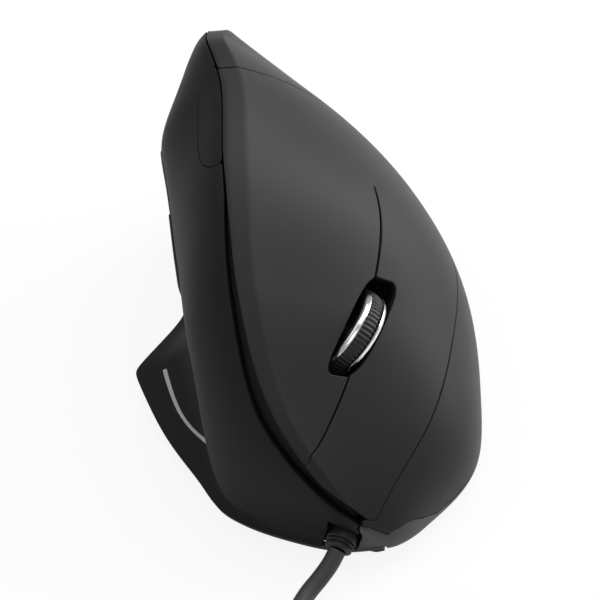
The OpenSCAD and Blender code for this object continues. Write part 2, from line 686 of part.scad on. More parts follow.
module index_key() {
    rows = [for (s = key_s) if (s > index_front_s) s];
    places = [for (s = rows) between(s, 0, index_edge(s), 9)];
    color("#333333")
        union() {
            finger_sheet(places, all_cells(places), 0, shell_t);
            key_post(index_at);
        }
}

module middle_key() {
    places = [
        for (s = key_s)
            between(s, s < centre_front_s ? key_tip_t(s) : middle_edge(s), right_t(s) - gap_t / 2, 9)
    ];
    color("#333333")
        union() {
            finger_sheet(places, all_cells(places), 0, shell_t);
            key_post(middle_at);
        }
}

// Upright wall under the ridge that the case is screwed to and the small boards hang on.
module spine_frame() {
    n = 14;
    ys = [for (i = [0 : n]) spine_ys[0] + (spine_ys[1] - spine_ys[0]) * i / n];
    plan = concat([for (y = ys) [spine_x(y) + spine_t / 2, y]],
                  [for (i = [n : -1 : 0]) [spine_x(ys[i]) - spine_t / 2, ys[i]]]);
    side = concat([[ys[0], boss_top], [ys[n], boss_top]],
                  [for (i = [n : -1 : 0]) [ys[i], ridge(station(ys[i])).y - spine_drop]]);
    color("#1a1a1a")
        difference() {
            union() {
                intersection() {
                    linear_extrude(ridge_h)
                        polygon(plan);
                    translate([-body_len, 0, 0])
                        rotate([90, 0, 90])
                            linear_extrude(2 * body_len)
                                polygon(side);
                }
                for (y = spine_screw_ys)
                    translate([spine_x(y), y, boss_top])
                        cylinder(h = screw_len + 2, r = boss_r - 1);
                for (p = side_studs)
                    rod([side_board_x + board_t, p.x, p.y], [spine_x(p.x), p.x, p.y], side_stud_r);
                at_frame(dpi_frame)
                    block([-6, -3.5, dpi_board_z - board_t - 3.2], [3, 3.5, dpi_board_z - board_t]);
            }
            for (y = spine_screw_ys)
                translate([spine_x(y), y, boss_top - 1])
                    cylinder(h = screw_len + 1, r = screw_r + fit_play);
        }
}

// Side buttons in one opening of the thumb shell: i is 0 for the front one and 1 for the rear one.
module side_button(i) {
    rows = [for (k = [0 : 4]) side_s[i] + gap_s + (side_s[i + 1] - side_s[i] - 2 * gap_s) * k / 4];
    places = [for (s = rows) between(s, side_across[0] + gap_t, side_across[1] - gap_t, 4)];
    p = side_at(i);
    union() {
        thumb_sheet(places, all_cells(places), side_proud, side_t);
        block([p.x + side_t / 2 - side_proud, p.y - side_rib_w / 2, p.z - side_rib_w / 2],
              [side_plunger_x - press_play, p.y + side_rib_w / 2, p.z + side_rib_w / 2]);
    }
}
module forward_button() {
    color("#2a2a2a")
        side_button(0);
}
module back_button() {
    color("#2a2a2a")
        side_button(1);
}

// Leaf-shaped button beside the ridge.
module dpi_button() {
    places = [for (s = leaf_rows) between(s, gap_t, leaf(s) - gap_t / 2, 5)];
    color("#2e2e2e")
        union() {
            thumb_sheet(places, all_cells(places), 0, dpi_t);
            at_frame(dpi_frame)
                block([-dpi_rib_w / 2, -dpi_rib_w / 2, dpi_plunger_z + press_play],
                      [dpi_rib_w / 2, dpi_rib_w / 2, -dpi_t / 2]);
        }
}

// Pale inlay along the thumb rest.
module thumb_strip() {
    n = 12;
    function strip_t(s) = strip_rear_t - strip_curl * pow((strip_s[1] - s) / (strip_s[1] - strip_s[0]), 4);
    function mid(s) = thumb_pt(s, strip_t(s));
    function row(s, h) =
        let (u = thumb_n(s, strip_t(s)), run = mid(min(s + step, strip_s[1])) - mid(s - step))
        let (side = unit(cross(run, u)))
        [for (k = [-1, 0, 1]) mid(s) + k * strip_w / 2 * side + h * u];
    rows = [for (i = [0 : n]) strip_s[0] + (strip_s[1] - strip_s[0]) * i / n];
    outer = [for (s = rows) row(s, strip_proud)];
    color("#8c8c8c")
        sheet(outer, [for (s = rows) row(s, -strip_sink)], all_cells(outer), false);
}

// Scroll wheel, in its own frame.
module at_wheel() {
    at_frame(wheel_frame)
        translate([0, 0, wheel_z])
            rotate([0, 90, 0])
                children();
}
module wheel_hub() {
    color("#202020")
        at_wheel()
            difference() {
                cylinder(h = tyre_w + 0.2, r = hub_r, center = true);
                cylinder(h = tyre_w + 2, r = axle_r + fit_play, center = true);
            }
}
module wheel_tyre() {
    crown = 0.7;
    color("#161616")
        at_wheel()
            rotate_extrude()
                polygon([
                    [hub_r + fit_play, -tyre_w / 2], [wheel_r - crown, -tyre_w / 2],
                    [wheel_r, -tyre_w / 2 + crown], [wheel_r, tyre_w / 2 - crown],
                    [wheel_r - crown, tyre_w / 2], [hub_r + fit_play, tyre_w / 2]
                ]);
}
module wheel_rings() {
    color("#d8dadc")
        for (side = [-1, 1])
            at_wheel()
                translate([0, 0, side * (tyre_w + ring_w) / 2 + side * fit_play])
                    difference() {
                        cylinder(h = ring_w, r = wheel_r - 0.5, center = true);
                        cylinder(h = ring_w + 1, r = hub_r + fit_play, center = true);
                    }
}
module wheel_axle() {
    color("#b9bcc0")
        at_frame(wheel_frame)
            rod([-arm_out, 0, wheel_z], [arm_out + encoder_w, 0, wheel_z], axle_r);
}
module wheel_yoke() {
    color("#1e1e1e")
        at_frame(wheel_frame)
            difference() {
                union() {
                    for (x = [-arm_out, arm_in])
                        block([x, -yoke_l / 2, yoke_low - yoke_t], [x + yoke_t, yoke_l / 2, wheel_z + 2.4]);
                    block([-arm_out, -yoke_l / 2, yoke_low - yoke_t], [arm_out, yoke_l / 2, yoke_low]);
                }
                rod([-arm_out - 1, 0, wheel_z], [arm_out + 1, 0, wheel_z], axle_r + axle_play);
            }
}
module wheel_encoder() {
    color("#3a4a3c")
        at_frame(wheel_frame)
            difference() {
                block([arm_out, -yoke_l / 2, wheel_z + 2.2 - encoder_h],
                      [arm_out + encoder_w, yoke_l / 2, wheel_z + 2.2]);
                rod([arm_out - 1, 0, wheel_z], [arm_out + encoder_w + 1, 0, wheel_z], axle_r + axle_play);
            }
}

// Board under the keys, its frame and its switches, in the key frame.
module button_frame() {
    color("#222222")
        difference() {
            union() {
                at_frame(key_frame)
                    block([board_low.x + 1, board_low.y + 1, frame_z],
                          [board_high.x - 1, board_high.y - 1, frame_z + frame_t]);
                difference() {
                    for (p = frame_legs)
                        translate([leg_foot(p).x, leg_foot(p).y, boss_top])
                            cylinder(h = ridge_h, r = boss_r - 1);
                    at_frame(key_frame)
                        block([-body_len, -body_len, frame_z + frame_t / 2],
                              [body_len, body_len, body_len]);
                }
            }
            for (p = frame_legs)
                translate([leg_foot(p).x, leg_foot(p).y, boss_top - 1])
                    cylinder(h = screw_len + 1, r = screw_r + fit_play);
            for (p = key_board_screws)
                at_frame(key_frame)
                    rod([p.x, p.y, frame_z - 1], [p.x, p.y, board_z], board_screw_r + fit_play);
        }
}
module button_board() {
    color("#1f5a34")
        at_frame(key_frame)
            difference() {
                block([board_low.x, board_low.y, board_z - board_t], [board_high.x, board_high.y, board_z]);
                for (p = key_board_screws)
                    rod([p.x, p.y, board_z - board_t - 1], [p.x, p.y, board_z + 1],
                        board_screw_r + screw_play);
            }
}
module main_switch(at) {
    p = key_spot(at);
    at_frame(key_frame)
        difference() {
            block([p.x - switch_w / 2, p.y - switch_l / 2, board_z],
                  [p.x + switch_w / 2, p.y + switch_l / 2, board_z + switch_h]);
            rod([p.x, p.y, board_z + 1], [p.x, p.y, board_z + switch_h + 1], plunger_r + axle_play);
        }
}
module main_plunger(at) {
    p = key_spot(at);
    at_frame(key_frame)
        rod([p.x, p.y, board_z + switch_h - plunger_sunk], [p.x, p.y, plunger_top], plunger_r);
}
module index_switch() {
    color("#2b2b2e")
        main_switch(index_at);
}
module middle_switch() {
    color("#2b2b2e")
        main_switch(middle_at);
}
module index_plunger() {
    color("#e6e2d8")
        main_plunger(index_at);
}
module middle_plunger() {
    color("#e6e2d8")
        main_plunger(middle_at);
}

// Small switch standing on z = 0, and the plunger in it.
module tact() {
    difference() {
        block([-tact_w / 2, -tact_w / 2, 0], [tact_w / 2, tact_w / 2, tact_h]);
        rod([0, 0, tact_floor], [0, 0, tact_h + 1], plunger_r + axle_play);
    }
}
module tact_plunger() {
    rod([0, 0, tact_floor + 0.8], [0, 0, tact_h + tact_stand - press_play], plunger_r);
}
module on_side(i) {
    translate([side_board_x, side_at(i).y, side_at(i).z])
        rotate([0, -90, 0])
            children();
}
module on_dpi_board() {
    at_frame(dpi_frame)
        translate([0, 0, dpi_board_z])
            children();
}
module under_yoke() {
    at_frame(key_frame)
        translate([0, 0, board_z])
            children();
}
module wheel_switch() {
    color("#2b2b2e")
        under_yoke()
            tact();
}
module wheel_plunger() {
    color("#e6e2d8")
        under_yoke()
            tact_plunger();
}
module forward_switch() {
    color("#2b2b2e")
        on_side(0)
            tact();
}
module forward_plunger() {
    color("#e6e2d8")
        on_side(0)
            tact_plunger();
}
module back_switch() {
    color("#2b2b2e")
        on_side(1)
            tact();
}
module back_plunger() {
    color("#e6e2d8")
        on_side(1)
            tact_plunger();
}
module dpi_switch() {
    color("#2b2b2e")
        on_dpi_board()
            tact();
}
module dpi_plunger() {
    color("#e6e2d8")
        on_dpi_board()
            tact_plunger();
}
module dpi_board() {
    color("#1f5a34")
        on_dpi_board()
            block([dpi_board_low.x, dpi_board_low.y, -board_t], [dpi_board_high.x, dpi_board_high.y, 0]);
}

// Upright board behind the side buttons.
module side_board() {
    color("#1f5a34")
        block([side_board_x, side_at(0).y - side_margin, side_at(0).z - side_margin],
              [side_board_x + board_t, side_at(1).y + side_margin, side_at(1).z + side_margin]);
}

// Board on the base plate, with the optical sensor over its window.
module main_board() {
    color("#1f5a34")
        difference() {
            block([main_low.x, main_low.y, main_z], [main_high.x, main_high.y, main_z + board_t]);
            for (p = main_screws)
                translate([p.x, p.y, main_z - 1])
                    cylinder(h = board_t + 2, r = board_screw_r + screw_play);
            translate([sensor_at.x, sensor_at.y, main_z - 1])
                cylinder(h = board_t + 2, r = window_r);
        }
}
module board_screw(h) {
    cylinder(h = board_screw_head[1], r = board_screw_head[0]);
    translate([0, 0, -h])
        cylinder(h = h + board_screw_head[1] / 2, r = board_screw_r);
}
module board_screws() {
    length = board_t + frame_t;
    color("#9a9da0") {
        for (p = key_board_screws)
            at_frame(key_frame)
                translate([p.x, p.y, board_z])
                    board_screw(length);
        for (p = main_screws)
            translate([p.x, p.y, main_z + board_t])
                board_screw(length);
    }
}
module optical_sensor() {
    color("#1d1d20")
        translate([sensor_at.x, sensor_at.y, main_z + board_t])
            block([-sensor_size.x / 2, -sensor_size.y / 2, 0], [sensor_size.x / 2, sensor_size.y / 2,
                  sensor_size.z]);
}
module sensor_lens() {
    color("#cfd8dc")
        translate([sensor_at.x, sensor_at.y, 0])
            union() {
                block([-lens_size.x / 2, -lens_size.y / 2, base_top],
                      [lens_size.x / 2, lens_size.y / 2, main_z - lens_play]);
                translate([0, 0, foot_t + 0.3])
                    cylinder(h = base_t, r = lens_hole_r - lens_play);
                translate([0, 0, base_top])
                    cylinder(h = main_z + board_t - base_top - lens_play, r = window_r - lens_play);
            }
}
module sensor_led() {
    led_r = 1.5;
    led_l = 5;
    led_gap = 1;
    color("#c23a30")
        translate([sensor_at.x, sensor_at.y + sensor_size.y / 2 + led_gap, main_z + board_t + led_r])
            rotate([-90, 0, 0])
                cylinder(h = led_l, r = led_r);
}
module controller_chip() {
    chip_size = [7, 7, 1.2];
    from_edge = [5, 7];
    corner = main_high - from_edge - [chip_size.x, chip_size.y];
    color("#1d1d20")
        translate([corner.x, corner.y, main_z + board_t])
            cube(chip_size);
}
module cable_socket() {
    color("#e8e4d6")
        translate(socket_at)
            difference() {
                cube(socket_size);
                translate([socket_wall, -socket_wall, socket_wall])
                    cube(socket_size - [2 * socket_wall, 0, 2 * socket_wall]);
            }
}

// Strain relief in the gap of the skirt, with its axis leaning down.
module cable_boot() {
    color("#1c1c1c")
        translate(gland)
            rotate([0, acos(boot_dir.z), atan2(boot_dir.y, boot_dir.x)])
                rotate_extrude()
                    polygon([
                        [0, -boot_neck], [cable_d / 2, -boot_neck], [cable_d / 2, -1.2], [boot_r, -1.2],
                        [boot_r, 0.3], [2.9, 0.5], [2.9, 0.9], [3.3, 1.1], [3.2, 2.2], [2.6, boot_len],
                        [0, boot_len]
                    ]);
}

// Closed tube along points, its first and last ring square to dir_in and dir_out.
module tube(path, r, sides, dir_in, dir_out) {
    n = len(path);
    function along(i) =
        i == 0 ? dir_in : i == n - 1 ? dir_out : unit(path[i + 1] - path[i - 1]);
    function ring(i) =
        let (d = along(i), x = unit(cross(d, [0, 0, 1])), y = cross(x, d))
        [for (k = [0 : sides - 1]) path[i] + r * (cos(360 * k / sides) * x + sin(360 * k / sides) * y)];
    function at(i, k) = i * sides + k % sides;
    skin = [
        for (i = [0 : n - 2], k = [0 : sides - 1])
            each [[at(i, k), at(i, k + 1), at(i + 1, k + 1)], [at(i, k), at(i + 1, k + 1), at(i + 1, k)]]
    ];
    caps = [
        for (k = [1 : sides - 2])
            each [[at(0, 0), at(0, k + 1), at(0, k)], [at(n - 1, 0), at(n - 1, k), at(n - 1, k + 1)]]
    ];
    polyhedron(points = [for (i = [0 : n - 1]) each ring(i)], faces = concat(skin, caps));
}

module inner_lead() {
    start = gland - boot_neck * boot_dir;
    last = [for (p = [[2, -16, -3.5], [0.5, -10, -1.5], [0, -4.5, 0], [0, 0, 0]]) lead_end + p];
    color("#2a2a2c")
        tube(concat([start], lead_route, last), lead_r, lead_sides, -boot_dir, [0, 1, 0]);
}
module cable_run() {
    run_path = concat([boot_end], [for (p = run_route) p + [0, 0, coil_z]]);
    color("#2a2a2c")
        tube(run_path, cable_d / 2, cable_sides, boot_dir, [0, -1, 0]);
}
module cable_tail() {
    color("#2a2a2c")
        tube(tail_path, cable_d / 2, cable_sides, [0, -1, 0], [0, -1, 0]);
}

// Coil of four layers: it spirals in and out again, and climbs a layer where the spiral turns back.
function coil_pt(u) =
    let (layer = floor(u / coil_loops), part = u - layer * coil_loops)
    let (turns = layer % 2 == 0 ? coil_loops - part : part)
    let (r = coil_out - (coil_loops - turns) * coil_pitch, a = 180 + 360 * u)
    let (climbs = [for (k = [1 : coil_layers - 1]) clamp01((u - k * coil_loops + 0.25) / 0.5)])
    let (z = coil_z + coil_pitch * (climbs[0] + climbs[1] + climbs[2]))
    [coil_centre.x + r * cos(a), coil_centre.y + r * sin(a), z];
module cable_coil() {
    loops = coil_loops * coil_layers;
    turns = [for (i = [0 : loops * coil_rings]) coil_pt(min(i / coil_rings, loops - 0.0001))];
    path = concat([coil_from], turns, [coil_to]);
    near = coil_rings / 2;
    last = len(path) - 1;
    gaps = [for (i = [0 : last - near], j = [i + near : last]) norm(path[i] - path[j])];
    echo(least_gap_in_coil = min(gaps) - cable_d);
    color("#2a2a2c")
        tube(path, cable_d / 2, coil_sides, [0, -1, 0], [0, -1, 0]);
}

// Strap round all turns on the far side of the coil.
module coil_tie() {
    reach = coil_pitch * coil_loops / 2 + cable_d / 2 + tie_room;
    bow = tie_w * tie_w / 8 / (coil_r - reach);
    low = coil_z - cable_d / 2 - tie_room;
    high = coil_z + (coil_layers - 1) * coil_pitch + cable_d / 2 + tie_room;
    color("#1a1a1a")
        translate([coil_centre.x + coil_r, coil_centre.y, 0])
            difference() {
                block([-reach - bow - tie_t, -tie_w / 2, low - tie_t],
                      [reach + tie_t, tie_w / 2, high + tie_t]);
                block([-reach - bow, -tie_w, low], [reach, tie_w, high]);
            }
}

// Plug lying on the surface beyond the coil, with its mouth towards -Y.
module at_plug() {
    translate(plug_from)
        rotate([90, 0, 0])
            children();
}
module plug_grip() {
    cut = 2;
    w = grip_w / 2;
    h = grip_h / 2;
    color("#1e1e1e")
        at_plug()
            difference() {
                linear_extrude(grip_l)
                    polygon([
                        [-w, -h + cut], [-w + cut, -h], [w - cut, -h], [w, -h + cut],
                        [w, h - cut], [w - cut, h], [-w + cut, h], [-w, h - cut]
                    ]);
                translate([0, 0, grip_l - plug_sunk])
                    linear_extrude(plug_sunk + 1)
                        square(plug_size, center = true);
            }
}
module plug_shell() {
    color("#c9ccce")
        at_plug()
            translate([0, 0, grip_l - plug_sunk])
                linear_extrude(plug_len + plug_sunk)
                    difference() {
                        square(plug_size, center = true);
                        square(plug_size - 2 * [plug_wall, plug_wall], center = true);
                    }
}
module plug_tongue() {
    inner = plug_size - 2 * [plug_wall, plug_wall];
    color("#e9e6dd")
        at_plug()
            translate([-inner.x / 2, -inner.y / 2, grip_l - plug_sunk])
                cube([inner.x, tongue_t, plug_len + plug_sunk - 1]);
}

base_plate();
feet();
base_screws();
thumb_shell();
palm_shell();
finger_panel();
index_key();
middle_key();
spine_frame();
forward_button();
back_button();
dpi_button();
thumb_strip();
wheel_hub();
wheel_tyre();
wheel_rings();
wheel_axle();
wheel_yoke();
wheel_encoder();
wheel_plunger();
button_frame();
button_board();
index_switch();
index_plunger();
middle_switch();
middle_plunger();
wheel_switch();
side_board();
forward_switch();
forward_plunger();
back_switch();
back_plunger();
dpi_board();
dpi_switch();
dpi_plunger();
main_board();
board_screws();
optical_sensor();
sensor_lens();
sensor_led();
controller_chip();
cable_socket();
inner_lead();
cable_boot();
cable_run();
cable_coil();
cable_tail();
coil_tie();
plug_grip();
plug_shell();
plug_tongue();
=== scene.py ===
# Vertical ergonomic mouse for the left hand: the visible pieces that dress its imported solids.
# Lengths are in millimetres, and turned into metres where a mesh is made. +Z is up, the cable leaves
# towards -Y, the thumb side is -X and the finger side is +X.
import math

import bmesh
import bpy
import numpy as np
from mathutils import Matrix, Vector
from mathutils.geometry import delaunay_2d_cdt


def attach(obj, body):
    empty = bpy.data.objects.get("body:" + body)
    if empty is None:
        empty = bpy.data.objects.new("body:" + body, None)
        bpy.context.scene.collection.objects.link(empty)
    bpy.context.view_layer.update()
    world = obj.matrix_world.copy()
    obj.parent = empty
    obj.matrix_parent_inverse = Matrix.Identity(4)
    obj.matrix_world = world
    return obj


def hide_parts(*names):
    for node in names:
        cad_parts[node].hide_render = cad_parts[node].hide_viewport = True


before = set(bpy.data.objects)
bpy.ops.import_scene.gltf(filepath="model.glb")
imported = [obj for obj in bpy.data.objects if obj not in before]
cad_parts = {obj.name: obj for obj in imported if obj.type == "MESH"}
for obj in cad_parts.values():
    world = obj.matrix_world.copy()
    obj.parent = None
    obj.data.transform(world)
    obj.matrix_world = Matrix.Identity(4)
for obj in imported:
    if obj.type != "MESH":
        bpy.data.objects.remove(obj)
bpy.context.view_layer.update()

MM = 0.001

# Body: corners of its upright sections at nine even stations from nose to tail.
BODY_LEN = 120.0
RIM_H = 7.0
NOSE_X = 10.0
TAIL_X = -2.1
RIDGE_X = [NOSE_X, *(18.0 * np.array([-0.19, -0.8, -1.02, -0.961, -0.808, -0.852, -0.643])), TAIL_X]
RIDGE_Z = RIM_H + 67.5 * np.array([0, 0.245, 0.5, 0.764, 0.948, 1, 0.964, 0.734, 0])
WING_X = [NOSE_X, *(29.0 * np.array([-0.169, -0.834, -0.995, -0.996, -1.021, -1.24, -1.27, -1.27]))]
WING_Z = RIM_H + 48.0 * np.array([0, 0.102, 0.036, 0.606, 0.74, 0.966, 0.916, 0.653, 0])
WAIST_X = [NOSE_X, *(25.0 * np.array([-0.22, -0.932, -1.02, -1, -0.88, -0.68, -0.4])), TAIL_X]
WAIST_Z = RIM_H + 15.0 * np.array([0, 0.07, 0, 0.53, 0.93, 1, 0.73, 0.33, 0])
LIP_X = [NOSE_X, *(41.0 * np.array([-0.13, -0.54, -0.826, -0.985, -1.11, -1.17, -1.17, -1.17]))]
LIP_Z = RIM_H - 2.2 * np.array([0, 0.85, 1, 1, 1, 1, 1, 0.85, 0])
BASE_X = [NOSE_X, *(41.5 * np.array([0.482, 0.811, 0.947, 1, 0.898, 0.664, 0.371])), TAIL_X]
BAND_W = 5.2 * np.array([0, 0.48, 0.63, 0.81, 1, 0.94, 0.78, 0.98, 0])
CROWN_TILT = [-28, -28, -29, -30, -28.5, -38, -45, -54.5, -46]
CROWN_PULL = [0.42, 0.42, 0.42, 0.42, 0.4, 0.35, 0.32, 0.28, 0.27]
TAIL_BLEND = [0, 0, 0, 0, 0, 0, 0, 0.35, 1]
BAND_T = 0.12
CREASE_T = 0.011

# Base: it turns in below the rim, to a floor that stands on the feet.
TUCK_R = 3.0
TUCK_ANGLE = math.radians(44)
FLOOR_INSET = 4.9
FOOT_T = 0.8
FLOOR_T = 1.6
# How far the skirt, the nose and the foot's two edges lie round the base, as shares past the rim.
SKIRT_LOW_T = 1.08
NOSE_LOW_T = 1.06
FOOT_ACROSS_T = (1.021, 1.05)
NOSE_S = 0.0005
SCREW_HOLE_R = 2.65
LENS_HOLE_R = 4.0

# Seams, as stations s and shares t of the way across a side.
SEAM_GAP = 0.5
HAIR_GAP = 0.3
GAP_T = SEAM_GAP / 84
GAP_S = SEAM_GAP / 190
HAIR_T = HAIR_GAP / 84
HAIR_S = HAIR_GAP / 190
SHELL_T = 2.0
TAIL_S = 0.996
KEY_FRONT_S = 0.074
CENTRE_FRONT_S = 0.17
CENTRE_END_S = 0.545
CENTRE_TOP_T = 0.463
RIGHT_FRONT_S = 0.06
RIGHT_END_T = 0.85
RIGHT_CURL = 0.274
REAR_BOW_S = 0.045
SLOT_S = 0.355
SLOT_HALF_S = 0.061
SLOT_SLANT = 0.48
# Where the seam between the keys fades out towards their hinge.
SEAM_TOP_S = 0.538
# Gap along the ridge: the thumb shell's edge, and the keys' edge on the other side.
RIDGE_GAP_S = [0.055, 0.09, 0.12, 0.2, 0.285, 0.367, 0.45, 0.5]
RIDGE_GAP_T = [0, 0.058, 0.0636, 0.039, 0.032, 0.0257, 0.008, 0]
KEY_EDGE_S = [0.0714, 0.1133, 0.1339, 0.16, 0.27, 0.361, 0.4235, 0.53]
KEY_EDGE_T = [0.2228, 0.0649, 0.0089, 0, 0, 0.0074, 0.0122, 0]
LEAF_S = 0.59
LEAF_HALF_S = 0.077
LEAF_T = 0.094
LEAF_GAP_T = 0.001
SIDE_S = (0.478, 0.563, 0.648)
SIDE_ACROSS = (0.325, 0.455)
SIDE_PROUD = {"forward": 0.5, "back": 0.2}
# Seam between the palm shell and the base, from the palm's tip to where it runs along the rim.
SKIRT_S = [0.0, 0.04, 0.063, 0.0875, 0.114, 0.146, 0.18, 1.0]
SKIRT_T = [0.0, 0.456, 0.638, 0.754, 0.897, 0.978, 0.992, 0.992]
PALM_FRONT_S = 0.057
# Tip of the palm shell at the ridge, and its corner beside the middle key.
PALM_TIP_T = 0.033
PALM_KEY_T = 0.2
GLAND_S = (0.057, 0.113)
GLAND_TOP_T = 0.265
STRIP_S = (0.35, 0.495)
STRIP_REAR_T = 0.918
STRIP_CURL = 0.144
STRIP_W = 1.65

# Strip under the gap along the ridge: how deep it lies, and how far it reaches under the edges.
LINER_T = 0.8
LINER_SINK = 2.2
LINER_END_S = 0.5
LINER_LAP_T = {"thumb": 0.025, "finger": 0.03}

# Wheel
WHEEL_R = 11.0
TYRE_W = 3.6
RING_W = 1.2
HUB_R = WHEEL_R - 2.4
AXLE_BORE_R = 1.52
WHEEL_RISE = 3.2
WHEEL_TURN = -12.0
SLOT_HALF_W = TYRE_W / 2 + RING_W + 1.0

# Cable
CABLE_D = 4.0
SHEATH_RIDGES = 26
COIL_LOOPS = 3
COIL_LAYERS = 4
COIL_PITCH = 4.5
COIL_OUT = 28.75
COIL_R = 22.0
COIL_Z = 2.95
COIL_FROM = np.array([-20.0, -112.0, COIL_Z])
COIL_CENTRE = np.array([COIL_FROM[0] + COIL_OUT, COIL_FROM[1] - CABLE_D])
BOOT_DIR = np.array([-0.5, -0.84, -0.25]) / np.linalg.norm([-0.5, -0.84, -0.25])


def station(y):
    return math.acos(-2 * y / BODY_LEN) / math.pi


REAR_S = station(29.0)
HINGE_S = station(14.0)


def through(values, s):
    """Smooth curve through evenly spaced values, with parabolas at its ends."""
    v = np.asarray(values, float)
    n = len(v) - 1
    q = np.clip(s, 0, 1) * n
    i = np.minimum(np.asarray(q).astype(int), n - 1)
    f = q - i
    m0 = (v[i + 1] - v[np.maximum(i - 1, 0)]) / 2
    m1 = (v[np.minimum(i + 2, n)] - v[i]) / 2
    m0 = np.where(i == 0, (4 * v[1] - v[2] - 3 * v[0]) / 2, m0)
    m1 = np.where(i == n - 1, (3 * v[n] - 4 * v[n - 1] + v[n - 2]) / 2, m1)
    return ((2 * f**3 - 3 * f**2 + 1) * v[i] + (f**3 - 2 * f**2 + f) * m0
            + (3 * f**2 - 2 * f**3) * v[i + 1] + (f**3 - f**2) * m1)


def smax(a, b, r):
    """Greater of a and b, with a corner rounded by about r."""
    return (a + b + np.sqrt((a - b) ** 2 + r * r)) / 2


def heading(degrees):
    a = np.radians(degrees)
    return np.stack([np.cos(a), np.sin(a)], -1)


def bezier(a, b, c, d, t):
    t = t[..., None]
    return (1 - t) ** 3 * a + 3 * (1 - t) ** 2 * t * b + 3 * (1 - t) * t**2 * c + t**3 * d


def length(v):
    return np.linalg.norm(v, axis=-1, keepdims=True)


def section_y(s):
    return -BODY_LEN / 2 * np.cos(np.pi * s)


def wing(s):
    cut = -33.03 + (section_y(s) - 20) * 0.52
    x = smax(through(WING_X, s), cut, 3)
    k = through(TAIL_BLEND, s)
    return np.stack([x * (1 - k) + np.minimum(through(RIDGE_X, s), TAIL_X) * k, through(WING_Z, s)], -1)


def lip(s):
    cut = -40.5 + (section_y(s) - 2)
    x = smax(through(LIP_X, s), cut, 2)
    least = through(WAIST_X, s) - 2.5 * np.sin(np.pi * s)
    return np.stack([-smax(-x, -least, 3), through(LIP_Z, s)], -1)


def tuck(u):
    """How far the base has turned in and dropped at a length u below the rim."""
    arc = np.clip(u, 0, TUCK_R * TUCK_ANGLE) / TUCK_R
    rest = np.maximum(u - TUCK_R * TUCK_ANGLE, 0)
    return (TUCK_R * (1 - np.cos(arc)) + rest * math.sin(TUCK_ANGLE),
            TUCK_R * np.sin(arc) + rest * math.cos(TUCK_ANGLE))


def finger_pt(s, t):
    """Finger side from the ridge at t = 0 to the rim at t = 1, and round the base beyond it."""
    s, t = np.broadcast_arrays(np.asarray(s, float), np.asarray(t, float))
    ridge = np.stack([through(RIDGE_X, s), through(RIDGE_Z, s)], -1)
    base = np.stack([through(BASE_X, s), np.full(s.shape, RIM_H)], -1)
    crease = ridge + through(BAND_W, s)[..., None] * heading(-2.0)
    chord = length(base - crease)
    crown = crease + through(CROWN_PULL, s)[..., None] * chord * heading(through(CROWN_TILT, s))
    skirt = base + 0.42 * chord * heading(92.0)

    def panel(v):
        return bezier(crease, crown, skirt, base, np.clip((v - BAND_T) / (1 - BAND_T), 0, 1))

    def band(v):
        return ridge + (crease - ridge) * (v / BAND_T)[..., None]

    one = np.ones(s.shape)
    f = np.clip((t - BAND_T + CREASE_T) / (2 * CREASE_T), 0, 1)[..., None]
    fillet = ((1 - f) ** 2 * band((BAND_T - CREASE_T) * one) + 2 * f * (1 - f) * crease
              + f**2 * panel((BAND_T + CREASE_T) * one))
    p = np.where((t < BAND_T)[..., None], band(np.clip(t, 0, BAND_T)), panel(t))
    p = np.where((np.abs(t - BAND_T) < CREASE_T)[..., None], fillet, p)
    inset, drop = tuck(84 * np.maximum(t - 1, 0))
    return np.stack([p[..., 0] - inset * np.sin(np.pi * s), section_y(s) + inset * np.cos(np.pi * s),
                     p[..., 1] - drop], -1)


def thumb_pt(s, t):
    """Thumb side from the ridge at t = 0 over the shoulder, the hollow and the ledge to the lip at
    t = 1, and round the base beyond it."""
    s, t = np.broadcast_arrays(np.asarray(s, float), np.asarray(t, float))
    ridge = np.stack([through(RIDGE_X, s), through(RIDGE_Z, s)], -1)
    waist = np.stack([through(WAIST_X, s), through(WAIST_Z, s)], -1)
    w, a, down = wing(s), lip(s), np.array([0.0, -1.0])
    d1, d2, d3 = (0.36 * length(v) for v in (ridge - w, w - waist, waist - a))
    shoulder = bezier(ridge, ridge + d1 * heading(222.0), w - d1 * down, w, np.clip(3 * t, 0, 1))
    hollow = bezier(w, w + d2 * down, waist - d2 * down, waist, np.clip(3 * t - 1, 0, 1))
    ledge = bezier(waist, waist + d3 * down, a + 0.5 / 0.36 * d3 * heading(12.0), a,
                   np.clip(3 * t - 2, 0, 1))
    p = np.where((t < 1 / 3)[..., None], shoulder, np.where((t < 2 / 3)[..., None], hollow, ledge))
    inset, drop = tuck(110 * np.maximum(t - 1, 0))
    return np.stack([p[..., 0] + inset * np.sin(np.pi * s), section_y(s) + inset * np.cos(np.pi * s),
                     p[..., 1] - drop], -1)


def unit(v):
    return v / np.maximum(length(v), 1e-12)


def finger_n(s, t):
    h = 0.002
    across = finger_pt(s, t + h) - finger_pt(s, np.maximum(t - h, 0))
    along = finger_pt(np.minimum(s + h, 1), t) - finger_pt(np.maximum(s - h, 0), t)
    return unit(np.cross(across, along))


def thumb_n(s, t):
    h = 0.002
    u, v = np.clip(s, 0.02, 0.98), np.where(t > 1, np.maximum(t, 1 + h), np.minimum(t, 0.96))
    across = thumb_pt(u, v + h) - thumb_pt(u, np.maximum(v - h, 0))
    return unit(np.cross(thumb_pt(u + h, v) - thumb_pt(u - h, v), across))


def mitred(normal):
    """Inward offsets of a side for a wall of thickness 1, mitred where the sides meet at the ridge."""
    def inward(s, t):
        s, t = np.broadcast_arrays(np.asarray(s, float), np.asarray(t, float))
        m = finger_n(s, 0 * s) + thumb_n(s, 0 * s)
        m = m * 2 / np.maximum((m * m).sum(-1, keepdims=True), 1)
        k = np.clip(1 - t / 0.04, 0, 1)[..., None]
        return -k * m - (1 - k) * normal(s, t)
    return inward


